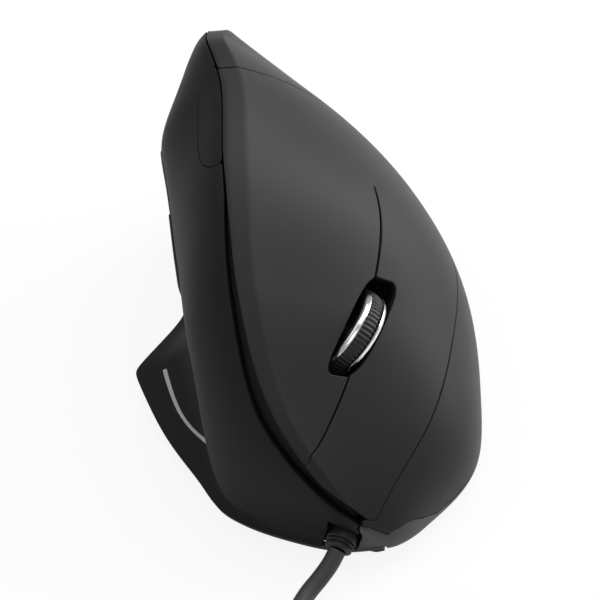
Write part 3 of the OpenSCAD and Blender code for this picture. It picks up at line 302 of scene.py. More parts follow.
class Side:
    """A surface over two coordinates: its points, its inward offsets and the coordinates' lengths."""

    def __init__(self, point, inward, spans):
        self.point = point
        self.inward = inward
        self.spans = np.array(spans)


FINGER = Side(finger_pt, mitred(finger_n), (190.0, 84.0))
THUMB = Side(thumb_pt, mitred(thumb_n), (190.0, 110.0))


def plane(origin, x, y):
    """Flat side through origin along x and y, which faces the way of x cross y."""
    o, x, y = (np.asarray(v, float) for v in (origin, x, y))

    def point(a, b):
        return o + np.multiply.outer(a, x) + np.multiply.outer(b, y)

    def inward(a, b):
        return np.tile(-np.cross(x, y), (len(a), 1))

    return Side(point, inward, (1.0, 1.0))


# Seam lines
def centre_t(s):
    reach = (CENTRE_END_S - s) / (CENTRE_END_S - CENTRE_FRONT_S)
    return CENTRE_TOP_T * np.sqrt(np.maximum(0, 1 - reach**2))


def right_t(s):
    share = np.maximum(s - RIGHT_FRONT_S, 0.004) / (REAR_S - RIGHT_FRONT_S)
    return RIGHT_END_T * np.clip(share, 0, 1) ** RIGHT_CURL


def rear_s(t):
    return REAR_S + REAR_BOW_S * np.sin(np.pi * np.clip((t - BAND_T) / (RIGHT_END_T - BAND_T), 0, 1))


def slot_t(s):
    return SLOT_HALF_W / 80 * np.maximum(0, 1 - np.abs((s - SLOT_S) / SLOT_HALF_S) ** 4) ** 0.25


def slot_edges(s):
    """Edges of the two keys along their seam, which draw apart round the wheel."""
    gap = np.where(s < SEAM_TOP_S, 0.7 * HAIR_T, 0.0003)
    wide, slant = slot_t(s), np.where(slot_t(s) > 0, SLOT_SLANT * (s - SLOT_S), 0)
    return centre_t(s) + np.minimum(-gap, slant - wide), centre_t(s) + np.maximum(gap, slant + wide)


def ridge_gap(s):
    return np.maximum(HAIR_T, np.interp(s, RIDGE_GAP_S, RIDGE_GAP_T))


def key_edge(s):
    return np.interp(s, KEY_EDGE_S, KEY_EDGE_T)


def skirt_t(s):
    return np.interp(s, SKIRT_S, SKIRT_T)


def leaf(s):
    return LEAF_T * np.sqrt(np.maximum(0, 1 - np.abs((s - LEAF_S) / LEAF_HALF_S) ** 3))


# Meshes
def outward(bm):
    """Turns each closed shell of a mesh so that its faces look outwards."""
    bmesh.ops.recalc_face_normals(bm, faces=bm.faces)
    left = set(bm.faces)
    while left:
        stack, shell = [left.pop()], []
        while stack:
            face = stack.pop()
            shell.append(face)
            near = {f for edge in face.edges for f in edge.link_faces} & left
            left -= near
            stack += near
        if sum(f.calc_center_median().dot(f.normal) * f.calc_area() for f in shell) < 0:
            bmesh.ops.reverse_faces(bm, faces=shell)


def piece(name, verts, faces, normals=None, body="case", slot=None, material=None, sharp=40):
    """Closed mesh in metres, from points in millimetres, that rides on a body."""
    mesh = bpy.data.meshes.new(name)
    mesh.from_pydata((np.asarray(verts) * MM).tolist(), [], faces)
    bm = bmesh.new()
    bm.from_mesh(mesh)
    outward(bm)
    bm.to_mesh(mesh)
    bm.free()
    return finish_piece(name, mesh, normals, body, material, sharp)


def finish_piece(name, mesh, normals=None, body="case", material=None, sharp=40):
    mesh.shade_smooth()
    if normals is None:
        mesh.set_sharp_from_angle(angle=math.radians(sharp))
    else:
        mesh.normals_split_custom_set_from_vertices(np.asarray(normals).tolist())
    if material:
        mesh.materials.clear()
        mesh.materials.append(material)
    obj = bpy.data.objects.new(name, mesh)
    bpy.context.scene.collection.objects.link(obj)
    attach(obj, body)
    return obj


def dense(loop, step):
    """Closed loop with points no further apart than step."""
    out = []
    for a, b in zip(loop, np.roll(loop, -1, axis=0)):
        n = max(1, math.ceil(np.linalg.norm(b - a) / step))
        out += [a + (b - a) * k / n for k in range(n)]
    return np.array(out)


def rounded(loop, radius):
    """Closed loop with its sharp corners replaced by arcs that start radius away from them."""
    loop = dense(loop, 0.4)
    before, after = unit(loop - np.roll(loop, 1, axis=0)), unit(np.roll(loop, -1, axis=0) - loop)
    corner = (before * after).sum(1) < math.cos(math.radians(28))
    steps = np.linalg.norm(np.roll(loop, -1, axis=0) - loop, axis=1)
    place = np.concatenate([[0], np.cumsum(steps)])
    total = place[-1]
    closed = np.vstack([loop, loop[:1]])

    def at(p):
        p = p % total
        return np.array([np.interp(p, place, closed[:, k]) for k in (0, 1)])

    out = []
    corners = place[:-1][corner]

    def clear(p):
        return len(corners) == 0 or np.min(np.abs((p - corners + total / 2) % total - total / 2)) > radius

    for i, p in enumerate(loop):
        if corner[i]:
            a, b = at(place[i] - radius), at(place[i] + radius)
            for k in np.linspace(0, 1, 7):
                out.append((1 - k) ** 2 * a + 2 * k * (1 - k) * p + k * k * b)
        elif clear(place[i]):
            out.append(p)
    return np.array(out)


def inside(points, loop):
    """Which points lie within the closed loop, by counting crossings."""
    a, b = loop, np.roll(loop, -1, axis=0)
    x, y = points[:, :1], points[:, 1:]
    spans = (a[:, 1] > y) != (b[:, 1] > y)
    rise = np.where(b[:, 1] == a[:, 1], 1e-12, b[:, 1] - a[:, 1])
    return ((spans & (x < a[:, 0] + (y - a[:, 1]) * (b[:, 0] - a[:, 0]) / rise)).sum(1) % 2).astype(bool)


def moulding(side, outline, holes=(), thickness=SHELL_T, proud=0.0, edge=0.35, corner=1.2, pitch=1.8,
             square=None, rows=()):
    """Sheet on a side of the body, cut to closed outlines in (s, t), with rounded outer edges. Edges where
    the test square holds stay square, and rows adds lines of points at those shares t.
    Returns points in millimetres, faces and normals."""
    loops = [rounded(np.asarray(o, float) * side.spans, corner) for o in (outline, *holes)]
    loops = [dense(o, 1.0) for o in loops]
    rim = np.vstack(loops)
    low, high = rim.min(0), rim.max(0)
    across = [np.arange(a + pitch / 2, b, pitch) for a, b in zip(low, high)]
    lines = np.asarray(rows, float) * side.spans[1]
    if len(lines):
        across[1] = across[1][np.abs(across[1] - lines.mean()) > np.ptp(lines) / 2 + 0.3 * pitch]
    across[1] = np.concatenate([across[1], lines])
    grid = np.stack(np.meshgrid(*across), -1).reshape(-1, 2)

    def within(p):
        ok = inside(p, loops[0])
        for hole in loops[1:]:
            ok &= ~inside(p, hole)
        return ok

    grid = grid[within(grid)]
    clear = np.array([np.min(((rim - p) ** 2).sum(1)) for p in grid]) > (0.6 * min(pitch, 1.2)) ** 2
    flat = np.vstack([rim, grid[clear]])
    ends = np.cumsum([len(o) for o in loops])
    starts = ends - [len(o) for o in loops]
    edges = [(a + i, a + (i + 1) % (b - a)) for a, b in zip(starts, ends) for i in range(b - a)]
    points, _, tris, source, _, _ = delaunay_2d_cdt([Vector(p) for p in flat], edges, [], 2, 1e-6)
    new_of = {o: i for i, olds in enumerate(source) for o in olds}
    flat = np.array([tuple(p) for p in points])
    for hole in loops[1:]:
        middles = np.array([flat[list(t)].mean(0) for t in tris])
        tris = [t for t, cut in zip(tris, inside(middles, hole)) if not cut]

    s, t = (flat / side.spans).T
    inward = side.inward(s, t)
    outer = side.point(s, t) - proud * inward
    normal = -unit(inward)
    verts = [outer.copy(), outer + thickness * inward]
    normals = [normal.copy(), 0 * normal]
    n = len(flat)
    faces = [tuple(f) for f in tris] + [tuple(i + n for i in reversed(f)) for f in tris]
    count = 2 * n
    for a, b in zip(starts, ends):
        ids = np.array([new_of[i] for i in range(a, b)])
        p, d = outer[ids], inward[ids]
        run = unit(np.roll(p, -1, axis=0) - np.roll(p, 1, axis=0))
        out = unit(np.cross(run, normal[ids]))
        step2 = unit(np.roll(flat[ids], -1, axis=0) - np.roll(flat[ids], 1, axis=0))
        left = np.stack([-step2[:, 1], step2[:, 0]], -1)
        sign = 1 if within(flat[ids] + 0.2 * left).mean() > 0.5 else -1
        into = side.point(*((flat[ids] + 0.2 * sign * left) / side.spans).T) - side.point(s[ids], t[ids])
        if ((out * into).sum(1)).mean() > 0:
            out = -out
        back = np.full((len(ids), 1), edge)
        if square:
            back[square(s[ids], t[ids])] = 0
        rings = [ids]
        verts[0][ids] = p - back * out
        for k in (1, 2, 3):
            a90 = math.pi / 6 * k
            verts.append(p - back * (1 - math.sin(a90)) * out + edge * (1 - math.cos(a90)) * d)
            normals.append(math.cos(a90) * normal[ids] + math.sin(a90) * out)
            rings.append(np.arange(count, count + len(ids)))
            count += len(ids)
        rings.append(ids + n)
        for upper, lower in zip(rings, rings[1:]):
            m = len(ids)
            faces += [(upper[i], upper[(i + 1) % m], lower[(i + 1) % m], lower[i]) for i in range(m)]
    return np.vstack(verts), [tuple(int(i) for i in f) for f in faces], np.vstack(normals)


def merged(*parts):
    """Several meshes of points, faces and normals as one."""
    starts = np.cumsum([0] + [len(p[0]) for p in parts])
    return (np.vstack([p[0] for p in parts]),
            [tuple(int(i + a) for i in f) for a, p in zip(starts, parts) for f in p[1]],
            np.vstack([p[2] for p in parts]))


def tube(path, radius, sides=24):
    """Closed round tube along a path, with UV: u once round, v along it in metres."""
    path = np.asarray(path)
    run = unit(np.gradient(path, axis=0))
    x = unit(np.cross(run[0], [0, 0, 1.0]))
    rings, angle = [], np.linspace(0, 2 * np.pi, sides, endpoint=False)[:, None]
    for p, d in zip(path, run):
        x = unit(x - (x @ d) * d)
        rings.append(p + radius * (np.cos(angle) * x + np.sin(angle) * np.cross(d, x)))
    n = len(path)
    faces = [(i * sides + k, i * sides + (k + 1) % sides, (i + 1) * sides + (k + 1) % sides,
              (i + 1) * sides + k) for i in range(n - 1) for k in range(sides)]
    faces += [tuple(range(sides))[::-1], tuple((n - 1) * sides + k for k in range(sides))]
    along = np.concatenate([[0], np.cumsum(np.linalg.norm(np.diff(path, axis=0), axis=1))]) * MM
    uvs = [uv for i in range(n - 1) for k in range(sides)
           for uv in ((k / sides, along[i]), ((k + 1) / sides, along[i]),
                      ((k + 1) / sides, along[i + 1]), (k / sides, along[i + 1]))]
    uvs += [(0.5, 0.0)] * (2 * sides)
    return np.vstack(rings), faces, uvs


def turned(name, replaced, profile, place, body, slot, material, sides=96):
    """Turned piece about X from a closed profile of (x, r) points, moved to its place."""
    angle = np.linspace(0, 2 * np.pi, sides, endpoint=False)
    verts = [place @ (Vector((x, r * math.cos(a), r * math.sin(a))) * MM) / MM
             for x, r in profile for a in angle]
    n = len(profile)
    faces = [(i * sides + k, i * sides + (k + 1) % sides, (i + 1) % n * sides + (k + 1) % sides,
              (i + 1) % n * sides + k) for i in range(n) for k in range(sides)]
    obj = piece(name, verts, faces, body=body, slot=slot, material=material)
    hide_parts(replaced)
    return obj


def sheet(name, replaced, side, outline, holes=(), body="case", slot="soft_black", material=None, **cut):
    """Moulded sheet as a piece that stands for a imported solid."""
    obj = piece(name, *moulding(side, outline, holes, **cut), body=body, slot=slot, material=material)
    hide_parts(replaced)
    return obj


# Materials
def tone(code):
    """Linear colour of an sRGB hex value."""
    parts = [int(code[i:i + 2], 16) / 255 for i in (1, 3, 5)]
    return (*(c / 12.92 if c <= 0.04045 else ((c + 0.055) / 1.055) ** 2.4 for c in parts), 1.0)


def node(tree, kind, props=None, links=None):
    """Adds a node with its settings, and with its inputs set to values or linked to sockets."""
    new = tree.nodes.new(kind)
    for key, value in (props or {}).items():
        setattr(new, key, value)
    for key, value in (links or {}).items():
        if isinstance(value, bpy.types.NodeSocket):
            tree.links.new(value, new.inputs[key])
        else:
            new.inputs[key].default_value = value
    return new


def maths(tree, operation, *values):
    """Result of a maths node on values or sockets."""
    return node(tree, "ShaderNodeMath", {"operation": operation}, dict(enumerate(values))).outputs[0]


def material(name, settings):
    """New material with a principled shader, and its node tree and shader."""
    mat = bpy.data.materials.new(name)
    mat.use_nodes = True
    tree = mat.node_tree
    shader = tree.nodes["Principled BSDF"]
    for key, value in settings.items():
        shader.inputs[key].default_value = value
    return mat, tree, shader


def moulded(name, dark, light, roughness, grain_mm, bump, level=0.5, patch_mm=25.0):
    """Moulded or painted plastic: a fine grain in the surface and broad faint changes of tone."""
    mat, tree, shader = material(name, {"Specular IOR Level": level})
    place = node(tree, "ShaderNodeTexCoord").outputs["Object"]
    patch = node(tree, "ShaderNodeTexNoise", None,
                 {"Vector": place, "Scale": 1 / (patch_mm * MM), "Detail": 3.0})
    grain = node(tree, "ShaderNodeTexNoise", None,
                 {"Vector": place, "Scale": 1 / (grain_mm * MM), "Detail": 2.0})
    colour = node(tree, "ShaderNodeMix", {"data_type": "RGBA"},
                  {"Factor": patch.outputs["Fac"], "A": tone(dark), "B": tone(light)})
    rough = node(tree, "ShaderNodeMapRange", None,
                 {"Value": grain.outputs["Fac"], "To Min": roughness - 0.05, "To Max": roughness + 0.05})
    relief = node(tree, "ShaderNodeBump", None,
                  {"Height": grain.outputs["Fac"], "Strength": bump, "Distance": 0.1 * grain_mm * MM})
    tree.links.new(colour.outputs["Result"], shader.inputs["Base Color"])
    tree.links.new(rough.outputs["Result"], shader.inputs["Roughness"])
    tree.links.new(relief.outputs["Normal"], shader.inputs["Normal"])
    return mat


# ABS under a soft-touch paint: near black, even, with a broad dull sheen and a very fine tooth.
SOFT_TOUCH = moulded("soft_touch_paint_on_abs", "#1d1d1d", "#222222", 0.5, 0.5, 0.12, 0.28)
# The same paint on the thumb side, rougher and with less sheen, and its colour darkened as painted shade, so
# that the hollow stays deep.
SOFT_TOUCH_PAINTED_SHADE = moulded("soft_touch_paint_with_painted_shade", "#161616", "#1a1a1a", 0.56, 0.5, 0.12, 0.16)
# Moulded ABS of the base with a fine spark-eroded grain; its colour is a lighter grey than the shell's, a
# painted sheen for the white floor that the tucked skirt reflects.
BASE_ABS_PAINTED_SHEEN = moulded("grained_abs_with_painted_sheen", "#303030", "#383838", 0.42, 0.6, 0.25)
# Plain moulded ABS of the parts inside the case, dull and black.
INNER_ABS = moulded("moulded_black_abs", "#121212", "#161616", 0.6, 0.8, 0.2, 0.2)
# Glide pads of filled PTFE: dark grey, waxy and smooth.
PTFE = moulded("skived_ptfe", "#262626", "#2c2c2c", 0.38, 0.8, 0.1)
# Pale inlay of satin painted plastic.
INLAY = moulded("satin_grey_lacquer", "#a6a6a6", "#aeaeae", 0.36, 0.5, 0.08)
# Moulded rubber of the tyre: black, slightly glossy on the crests of its ribs.
RUBBER = moulded("moulded_tyre_rubber", "#171717", "#1d1d1d", 0.42, 0.4, 0.15)
# Nickel plate, polished so that it catches the softboxes.
CHROME, _, _ = material("polished_nickel_plate", {"Base Color": tone("#f0f0ee"), "Metallic": 1.0,
                                                  "Roughness": 0.2})
# Zinc plated steel of the screws and the plug's shell, with a satin finish.
STEEL, _, _ = material("zinc_plated_steel", {"Base Color": tone("#b9bbbd"), "Metallic": 1.0,
                                             "Roughness": 0.3})
# Nylon strap with a woven hook-and-loop face.
STRAP = moulded("woven_nylon_strap", "#151515", "#202020", 0.85, 0.6, 0.8)
# Moulded PVC of the strain relief and the plug's grip.
PVC = moulded("moulded_soft_pvc", "#161616", "#1b1b1b", 0.5, 0.6, 0.2)
# Off-white nylon of plungers and sockets.
NYLON = moulded("moulded_white_nylon", "#d8d4c8", "#e2ded4", 0.45, 0.6, 0.1)
# Glass-fibre board under green solder lacquer.
BOARD = moulded("green_solder_lacquer", "#14452a", "#1a5433", 0.35, 0.7, 0.2)
# Cast epoxy of chips and switches.
EPOXY = moulded("moulded_black_epoxy", "#17171a", "#1e1e22", 0.5, 0.5, 0.2)
# Clear polycarbonate of the sensor's lens.
LENS, _, _ = material("clear_polycarbonate", {"Base Color": tone("#e8eef2"), "IOR": 1.585,
                                              "Roughness": 0.05, "Transmission Weight": 0.9})
# Tinted epoxy of the red lamp.
LAMP, _, _ = material("red_tinted_epoxy", {"Base Color": tone("#a01812"), "Roughness": 0.15,
                                           "Transmission Weight": 0.4})


def ribbed_sheath():
    """Extruded rubbery sheath: fine ridges run along it, read from the cable's own UV, with painted shade in
    the grooves and a painted highlight on the crests.
    """
    mat, tree, shader = material("extruded_tpe_sheath", {"Roughness": 0.45, "IOR": 1.5})
    uv = node(tree, "ShaderNodeSeparateXYZ", None, {0: node(tree, "ShaderNodeTexCoord").outputs["UV"]})
    ridge = maths(tree, "SINE", maths(tree, "MULTIPLY", uv.outputs["X"], 2 * math.pi * SHEATH_RIDGES))
    relief = node(tree, "ShaderNodeBump", None,
                  {"Height": ridge, "Strength": 0.5, "Distance": 0.06 * MM})
    # Grooves painted darker and crests lighter: painted shade and painted highlight on the ridges.
    share = node(tree, "ShaderNodeMapRange", None, {"Value": ridge, "From Min": -1.0})
    colour = node(tree, "ShaderNodeMix", {"data_type": "RGBA"},
                  {"Factor": share.outputs["Result"], "A": tone("#2a2a2b"), "B": tone("#38383a")})
    tree.links.new(colour.outputs["Result"], shader.inputs["Base Color"])
    tree.links.new(relief.outputs["Normal"], shader.inputs["Normal"])
    return mat


SHEATH = ribbed_sheath()

# Camera
AZIMUTH, ELEVATION, DISTANCE = math.radians(-10), math.radians(48), 520.0
TARGET = np.array([4.0, 0.0, 32.0])
FOCAL_PX = 2230.0
# Where the target shows in the picture, off its centre, in pixels to the right and down.
OFF_CENTRE = (18.0, -22.0)

back = np.array([math.sin(AZIMUTH) * math.cos(ELEVATION), -math.cos(AZIMUTH) * math.cos(ELEVATION),
                 math.sin(ELEVATION)])
right = np.array([math.cos(AZIMUTH), math.sin(AZIMUTH), 0.0])
up = np.cross(back, right)
aim = -back - OFF_CENTRE[0] / FOCAL_PX * right + OFF_CENTRE[1] / FOCAL_PX * up
lens = bpy.data.cameras.new("camera")
lens.sensor_width = 36.0
lens.lens = FOCAL_PX / 600 * lens.sensor_width
lens.clip_start, lens.clip_end = 0.05, 20.0
camera = bpy.data.objects.new("camera", lens)
bpy.context.scene.collection.objects.link(camera)
camera.matrix_world = (Matrix.Translation(Vector((TARGET + DISTANCE * back) * MM))
                       @ Vector(aim).to_track_quat("-Z", "Y").to_matrix().to_4x4())
bpy.context.scene.camera = camera
bpy.context.scene.view_settings.view_transform = "Standard"


# Light and floor
def softbox(name, place, size, watts):
    light = bpy.data.lights.new(name, "AREA")
    light.shape = "SQUARE"
    light.size = size
    light.energy = watts
    obj = bpy.data.objects.new(name, light)
    bpy.context.scene.collection.objects.link(obj)
    aim = Vector((0, 0, 0.03)) - Vector(place)
    obj.matrix_world = Matrix.Translation(place) @ aim.to_track_quat("-Z", "Y").to_matrix().to_4x4()


softbox("overhead_softbox", (0.25, 0.3, 1.05), 0.9, 6.5)
softbox("right_softbox", (1.0, 0.3, 0.5), 0.8, 9.0)
softbox("left_softbox", (-0.8, 0.4, 0.9), 0.8, 1.6)
softbox("front_softbox", (-0.25, -0.8, 1.0), 0.8, 2.2)


def seen_white(tree, grey):
    """Strength that is 1 for what the camera sees directly or through glass, else grey."""
    path = node(tree, "ShaderNodeLightPath")
    seen = maths(tree, "MAXIMUM", path.outputs["Is Camera Ray"], path.outputs["Is Transmission Ray"])
    return node(tree, "ShaderNodeMapRange", None, {"Value": seen, "To Min": grey, "To Max": 1.0})


world = bpy.data.worlds.new("studio")
world.use_nodes = True
bpy.context.scene.world = world
ground = world.node_tree.nodes["Background"]
ground.inputs["Color"].default_value = (1, 1, 1, 1)
world.node_tree.links.new(seen_white(world.node_tree, 0.35).outputs["Result"], ground.inputs["Strength"])

floor_mesh = bpy.data.meshes.new("floor")
FLOOR_HALF, FLOOR_Z = 3.0, -0.0002
FLOOR_CORNERS = ((-1, -1), (1, -1), (1, 1), (-1, 1))
floor_mesh.from_pydata([(x * FLOOR_HALF, y * FLOOR_HALF, FLOOR_Z) for x, y in FLOOR_CORNERS], [],
                       [(0, 1, 2, 3)])
floor = bpy.data.objects.new("floor", floor_mesh)
bpy.context.scene.collection.objects.link(floor)
# Matt white paper, lit mostly to white where the camera sees it, so that a faint shadow stays.
paper, paper_tree, paper_shader = material("white_paper_sweep",
                                           {"Base Color": tone("#f4f4f4"), "Roughness": 0.9})
glow = node(paper_tree, "ShaderNodeEmission", None, {"Color": (1, 1, 1, 1), "Strength": 1.0})
sight = node(paper_tree, "ShaderNodeLightPath")
part = maths(paper_tree, "MULTIPLY", sight.outputs["Is Camera Ray"], 0.88)
blend = node(paper_tree, "ShaderNodeMixShader", None,
             {0: part, 1: paper_shader.outputs[0], 2: glow.outputs[0]})
paper_tree.links.new(blend.outputs[0], paper_tree.nodes["Material Output"].inputs["Surface"])
floor_mesh.materials.append(paper)


# Cable: from the strain relief along the surface into a flat coil and on to the plug.
def smooth_path(points, step):
    """Evenly spaced points on a smooth curve through the given ones."""
    p = np.asarray(points, float)
    ends = np.vstack([2 * p[0] - p[1], p, 2 * p[-1] - p[-2]])
    fine = []
    for a, b, c, d in zip(ends, ends[1:], ends[2:], ends[3:]):
        for f in np.linspace(0, 1, 12, endpoint=False):
            fine.append(0.5 * (2 * b + (c - a) * f + (2 * a - 5 * b + 4 * c - d) * f**2
                               + (3 * b - a - 3 * c + d) * f**3))
    fine = np.array(fine + [p[-1]])
    along = np.concatenate([[0], np.cumsum(np.linalg.norm(np.diff(fine, axis=0), axis=1))])
    places = np.linspace(0, along[-1], max(2, round(along[-1] / step)))
    return np.stack([np.interp(places, along, fine[:, k]) for k in range(3)], -1)


gland = (thumb_pt(GLAND_S[0], 0.7) + thumb_pt(GLAND_S[1], 0.7)) / 2 + [0, 0, 0.6]
boot_end = gland + 2.6 * BOOT_DIR
RUN = [(-3.7, -62.2, 3.1), (-6.4, -64.5, 1.5), (-9.5, -67.2, 0.5), (-12.2, -70.6, 0.1), (-14.7, -75, 0),
       (-17, -81, 0), (-18.8, -88, 0), (-19.7, -95, 0), (-20, -102, 0), (-20, -107, 0), (-20, -112, 0)]
TAIL = [(0, 0, 0), (0, -6, 0.02), (-0.5, -13, 0.16), (-1.4, -20, 0.42), (-2.4, -27, 0.7),
        (-3.3, -34, 0.9), (-3.9, -41, 0.99), (-4, -47, 1)]
coil_to = np.array([COIL_FROM[0], COIL_CENTRE[1] - CABLE_D, COIL_Z + (COIL_LAYERS - 1) * COIL_PITCH])
GRIP_L, GRIP_W, GRIP_H = 26.0, 15.6, 7.8
tail_drop = coil_to[2] - GRIP_H / 2


def coil_pt(u):
    """Point after u turns: it spirals in and out again, and climbs a layer where it turns back."""
    layer = min(int(u // COIL_LOOPS), COIL_LAYERS - 1)
    part = u - layer * COIL_LOOPS
    out = part if layer % 2 == 0 else COIL_LOOPS - part
    climbs = sum(min(max((u - k * COIL_LOOPS + 0.25) / 0.5, 0), 1) for k in range(1, COIL_LAYERS))
    a, r = math.pi + 2 * math.pi * u, COIL_OUT - out * COIL_PITCH
    x, y = COIL_CENTRE + r * heading(math.degrees(a))
    return x, y, COIL_Z + COIL_PITCH * climbs


run = smooth_path([boot_end, *((x, y, COIL_Z + z) for x, y, z in RUN)], 1.2)
turns = [coil_pt(u) for u in np.linspace(0, COIL_LOOPS * COIL_LAYERS, 1400)]
tail = smooth_path([coil_to + [x, y, -z * tail_drop] for x, y, z in TAIL], 1.2)
route = np.vstack([run, turns, tail])
verts, faces, uvs = tube(route, CABLE_D / 2)
cable = piece("cable", verts, faces, slot="cable_grey", material=SHEATH, sharp=60)
layer = cable.data.uv_layers.new(name="along")
layer.data.foreach_set("uv", np.array(uvs, float).ravel())
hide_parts("cable_run", "cable_coil", "cable_tail")

# Shells
fine_s = np.linspace(0, 1, 361)


def between(a, b, extra=()):
    """Stations from a to b, with extra ones where an edge bends sharply."""
    inner = np.concatenate([fine_s, np.asarray(extra)])
    inner = inner[(inner > min(a, b) + 1e-4) & (inner < max(a, b) - 1e-4)]
    out = np.concatenate([[min(a, b)], np.unique(inner), [max(a, b)]])
    return out if a < b else out[::-1]


def line(s, t):
    return np.stack(np.broadcast_arrays(np.asarray(s, float), np.asarray(t, float)), -1)


swing = np.sin(np.linspace(-np.pi / 2, np.pi / 2, 41))
leaf_bends = LEAF_S + LEAF_HALF_S * swing
slot_bends = SLOT_S + SLOT_HALF_S * swing
shell_front = PALM_FRONT_S + HAIR_S
crease_rows = BAND_T + CREASE_T * np.linspace(-1, 1, 5)

s_top = between(shell_front, TAIL_S, leaf_bends)
top_edge = np.maximum(ridge_gap(s_top), np.where(leaf(s_top) > 0, leaf(s_top) + LEAF_GAP_T, 0))
thumb_outline = np.vstack([line(s_top, top_edge), line(between(TAIL_S, GLAND_S[1]), 1.0),
                           line([GLAND_S[1], shell_front], GLAND_TOP_T)])
side_hole = [(SIDE_S[0], SIDE_ACROSS[0]), (SIDE_S[2], SIDE_ACROSS[0]), (SIDE_S[2], SIDE_ACROSS[1]),
             (SIDE_S[0], SIDE_ACROSS[1])]
# Thumb shell in the soft-touch paint whose colour is darkened as painted shade.
sheet("thumb_case", "thumb_shell", THUMB, thumb_outline, [side_hole], material=SOFT_TOUCH_PAINTED_SHADE, edge=0.2)

# Dark strip under the gap that opens along the ridge.
liners = []
for side, start, near_t, far_t, lap in ((THUMB, 0.04, 0.004, ridge_gap, LINER_LAP_T["thumb"]),
                                        (FINGER, 0.068, 0.003, key_edge, LINER_LAP_T["finger"])):
    s_gap = between(start, LINER_END_S)
    outline = np.vstack([line(s_gap, near_t), line(s_gap[::-1], far_t(s_gap[::-1]) + lap)])
    liners.append(moulding(side, outline, thickness=LINER_T, proud=-LINER_SINK, edge=0.1, corner=0.3))
piece("ridge_liner", *merged(*liners), slot="base_black", material=INNER_ABS)

s_right = between(KEY_FRONT_S - HAIR_S, REAR_S)
split = np.minimum(right_t(s_right), skirt_t(s_right) - 3 * GAP_T) + HAIR_T / 2
rear_t = np.linspace(RIGHT_END_T, HAIR_T, 40)
s_skirt = between(TAIL_S, SKIRT_S[1], SKIRT_S)
palm_outline = np.vstack([
    [(PALM_FRONT_S, PALM_TIP_T), (KEY_FRONT_S - HAIR_S, PALM_KEY_T)], line(s_right, split),
    line(rear_s(rear_t) + HAIR_S / 2, rear_t), [(TAIL_S, HAIR_T)],
    line(s_skirt, skirt_t(s_skirt) - GAP_T)])
sheet("palm_case", "palm_shell", FINGER, palm_outline, material=SOFT_TOUCH, edge=0.3, rows=crease_rows)


def at_hinge(s, t):
    return np.abs(s - HINGE_S) < 1e-4


def closed(s, t):
    """Edges of the keys that meet without a visible gap."""
    return at_hinge(s, t) | ((s > SEAM_TOP_S) & (np.abs(t - centre_t(s)) < 0.01))


s_panel = between(REAR_S, HINGE_S)
panel_outline = np.vstack([
    [(HINGE_S, 0.0)], line(rear_s(rear_t[::-1]) - HAIR_S / 2, rear_t[::-1]),
    line(s_panel[1:], right_t(s_panel[1:]) - HAIR_T / 2)])
sheet("finger_rest", "finger_panel", FINGER, panel_outline, material=SOFT_TOUCH, edge=0.2, corner=0.3,
      square=at_hinge, rows=crease_rows)

s_index = between(HINGE_S, CENTRE_FRONT_S + 0.0006, slot_bends)
index_edge = np.maximum(slot_edges(s_index)[0], 0.004)
index_outline = np.vstack([line(s_index, index_edge), line(s_index[::-1], key_edge(s_index[::-1]))])

s_middle = between(CENTRE_FRONT_S, HINGE_S, slot_bends)
s_tip = between(KEY_FRONT_S, CENTRE_FRONT_S - 0.0006)
s_back = between(HINGE_S, KEY_FRONT_S)
middle_outline = np.vstack([
    line(s_tip, key_edge(s_tip)), line(s_middle, slot_edges(s_middle)[1]),
    line(s_back, right_t(s_back) - HAIR_T / 2)])
for name, outline in (("index_key", index_outline), ("middle_key", middle_outline)):
    sheet(name + "_cap", name, FINGER, outline, body=name, material=SOFT_TOUCH, edge=0.25, corner=0.5,
          square=closed, rows=crease_rows)

# Buttons of the thumb side
for i, name in enumerate(("forward", "back")):
    a, b = SIDE_S[i] + GAP_S, SIDE_S[i + 1] - GAP_S
    c, d = SIDE_ACROSS[0] + GAP_T, SIDE_ACROSS[1] - GAP_T
    sheet(name + "_cap", name + "_button", THUMB, [(a, c), (b, c), (b, d), (a, d)], body=name + "_button",
          material=SOFT_TOUCH, thickness=2.6, proud=SIDE_PROUD[name], edge=0.5, corner=1.6, pitch=1.2)

s_leaf = between(LEAF_S - 0.985 * LEAF_HALF_S, LEAF_S + 0.985 * LEAF_HALF_S, leaf_bends)
leaf_outline = np.vstack([line(s_leaf, np.maximum(leaf(s_leaf) - LEAF_GAP_T, HAIR_T + 0.002)),
                          line([s_leaf[-1], s_leaf[0]], HAIR_T)])
# The resolution key wears the same paint, its colour darkened as painted shade.
sheet("resolution_cap", "dpi_button", THUMB, leaf_outline, body="dpi_button", material=SOFT_TOUCH_PAINTED_SHADE,
      edge=0.12, corner=0.8, pitch=1.2)

# Inlay on the thumb rest: a narrow strip with round ends along a curve.
s_strip = np.linspace(*STRIP_S, 40)
drop = STRIP_CURL * ((STRIP_S[1] - s_strip) / np.ptp(STRIP_S)) ** 4
mid = line(s_strip, STRIP_REAR_T - drop) * THUMB.spans
run = unit(np.gradient(mid, axis=0))
beside = STRIP_W / 2 * np.stack([-run[:, 1], run[:, 0]], -1)
strip_outline = np.vstack([mid + beside, (mid - beside)[::-1]]) / THUMB.spans
sheet("rest_inlay", "thumb_strip", THUMB, strip_outline, slot="strip_grey", material=INLAY, thickness=0.75,
      proud=0.15, edge=0.15, corner=0.55)


# Base: its skirt, the nose that closes it in front, a narrow foot under the lip and the floor.
def plan(s, thumb):
    """Outline of the floor at station s, on the thumb side or the finger side."""
    inset = FLOOR_INSET * np.sin(np.pi * s)
    x = lip(s)[..., 0] + inset if thumb else through(BASE_X, s) - inset
    return np.stack([x, (FLOOR_INSET - BODY_LEN / 2) * np.cos(np.pi * s)], -1)


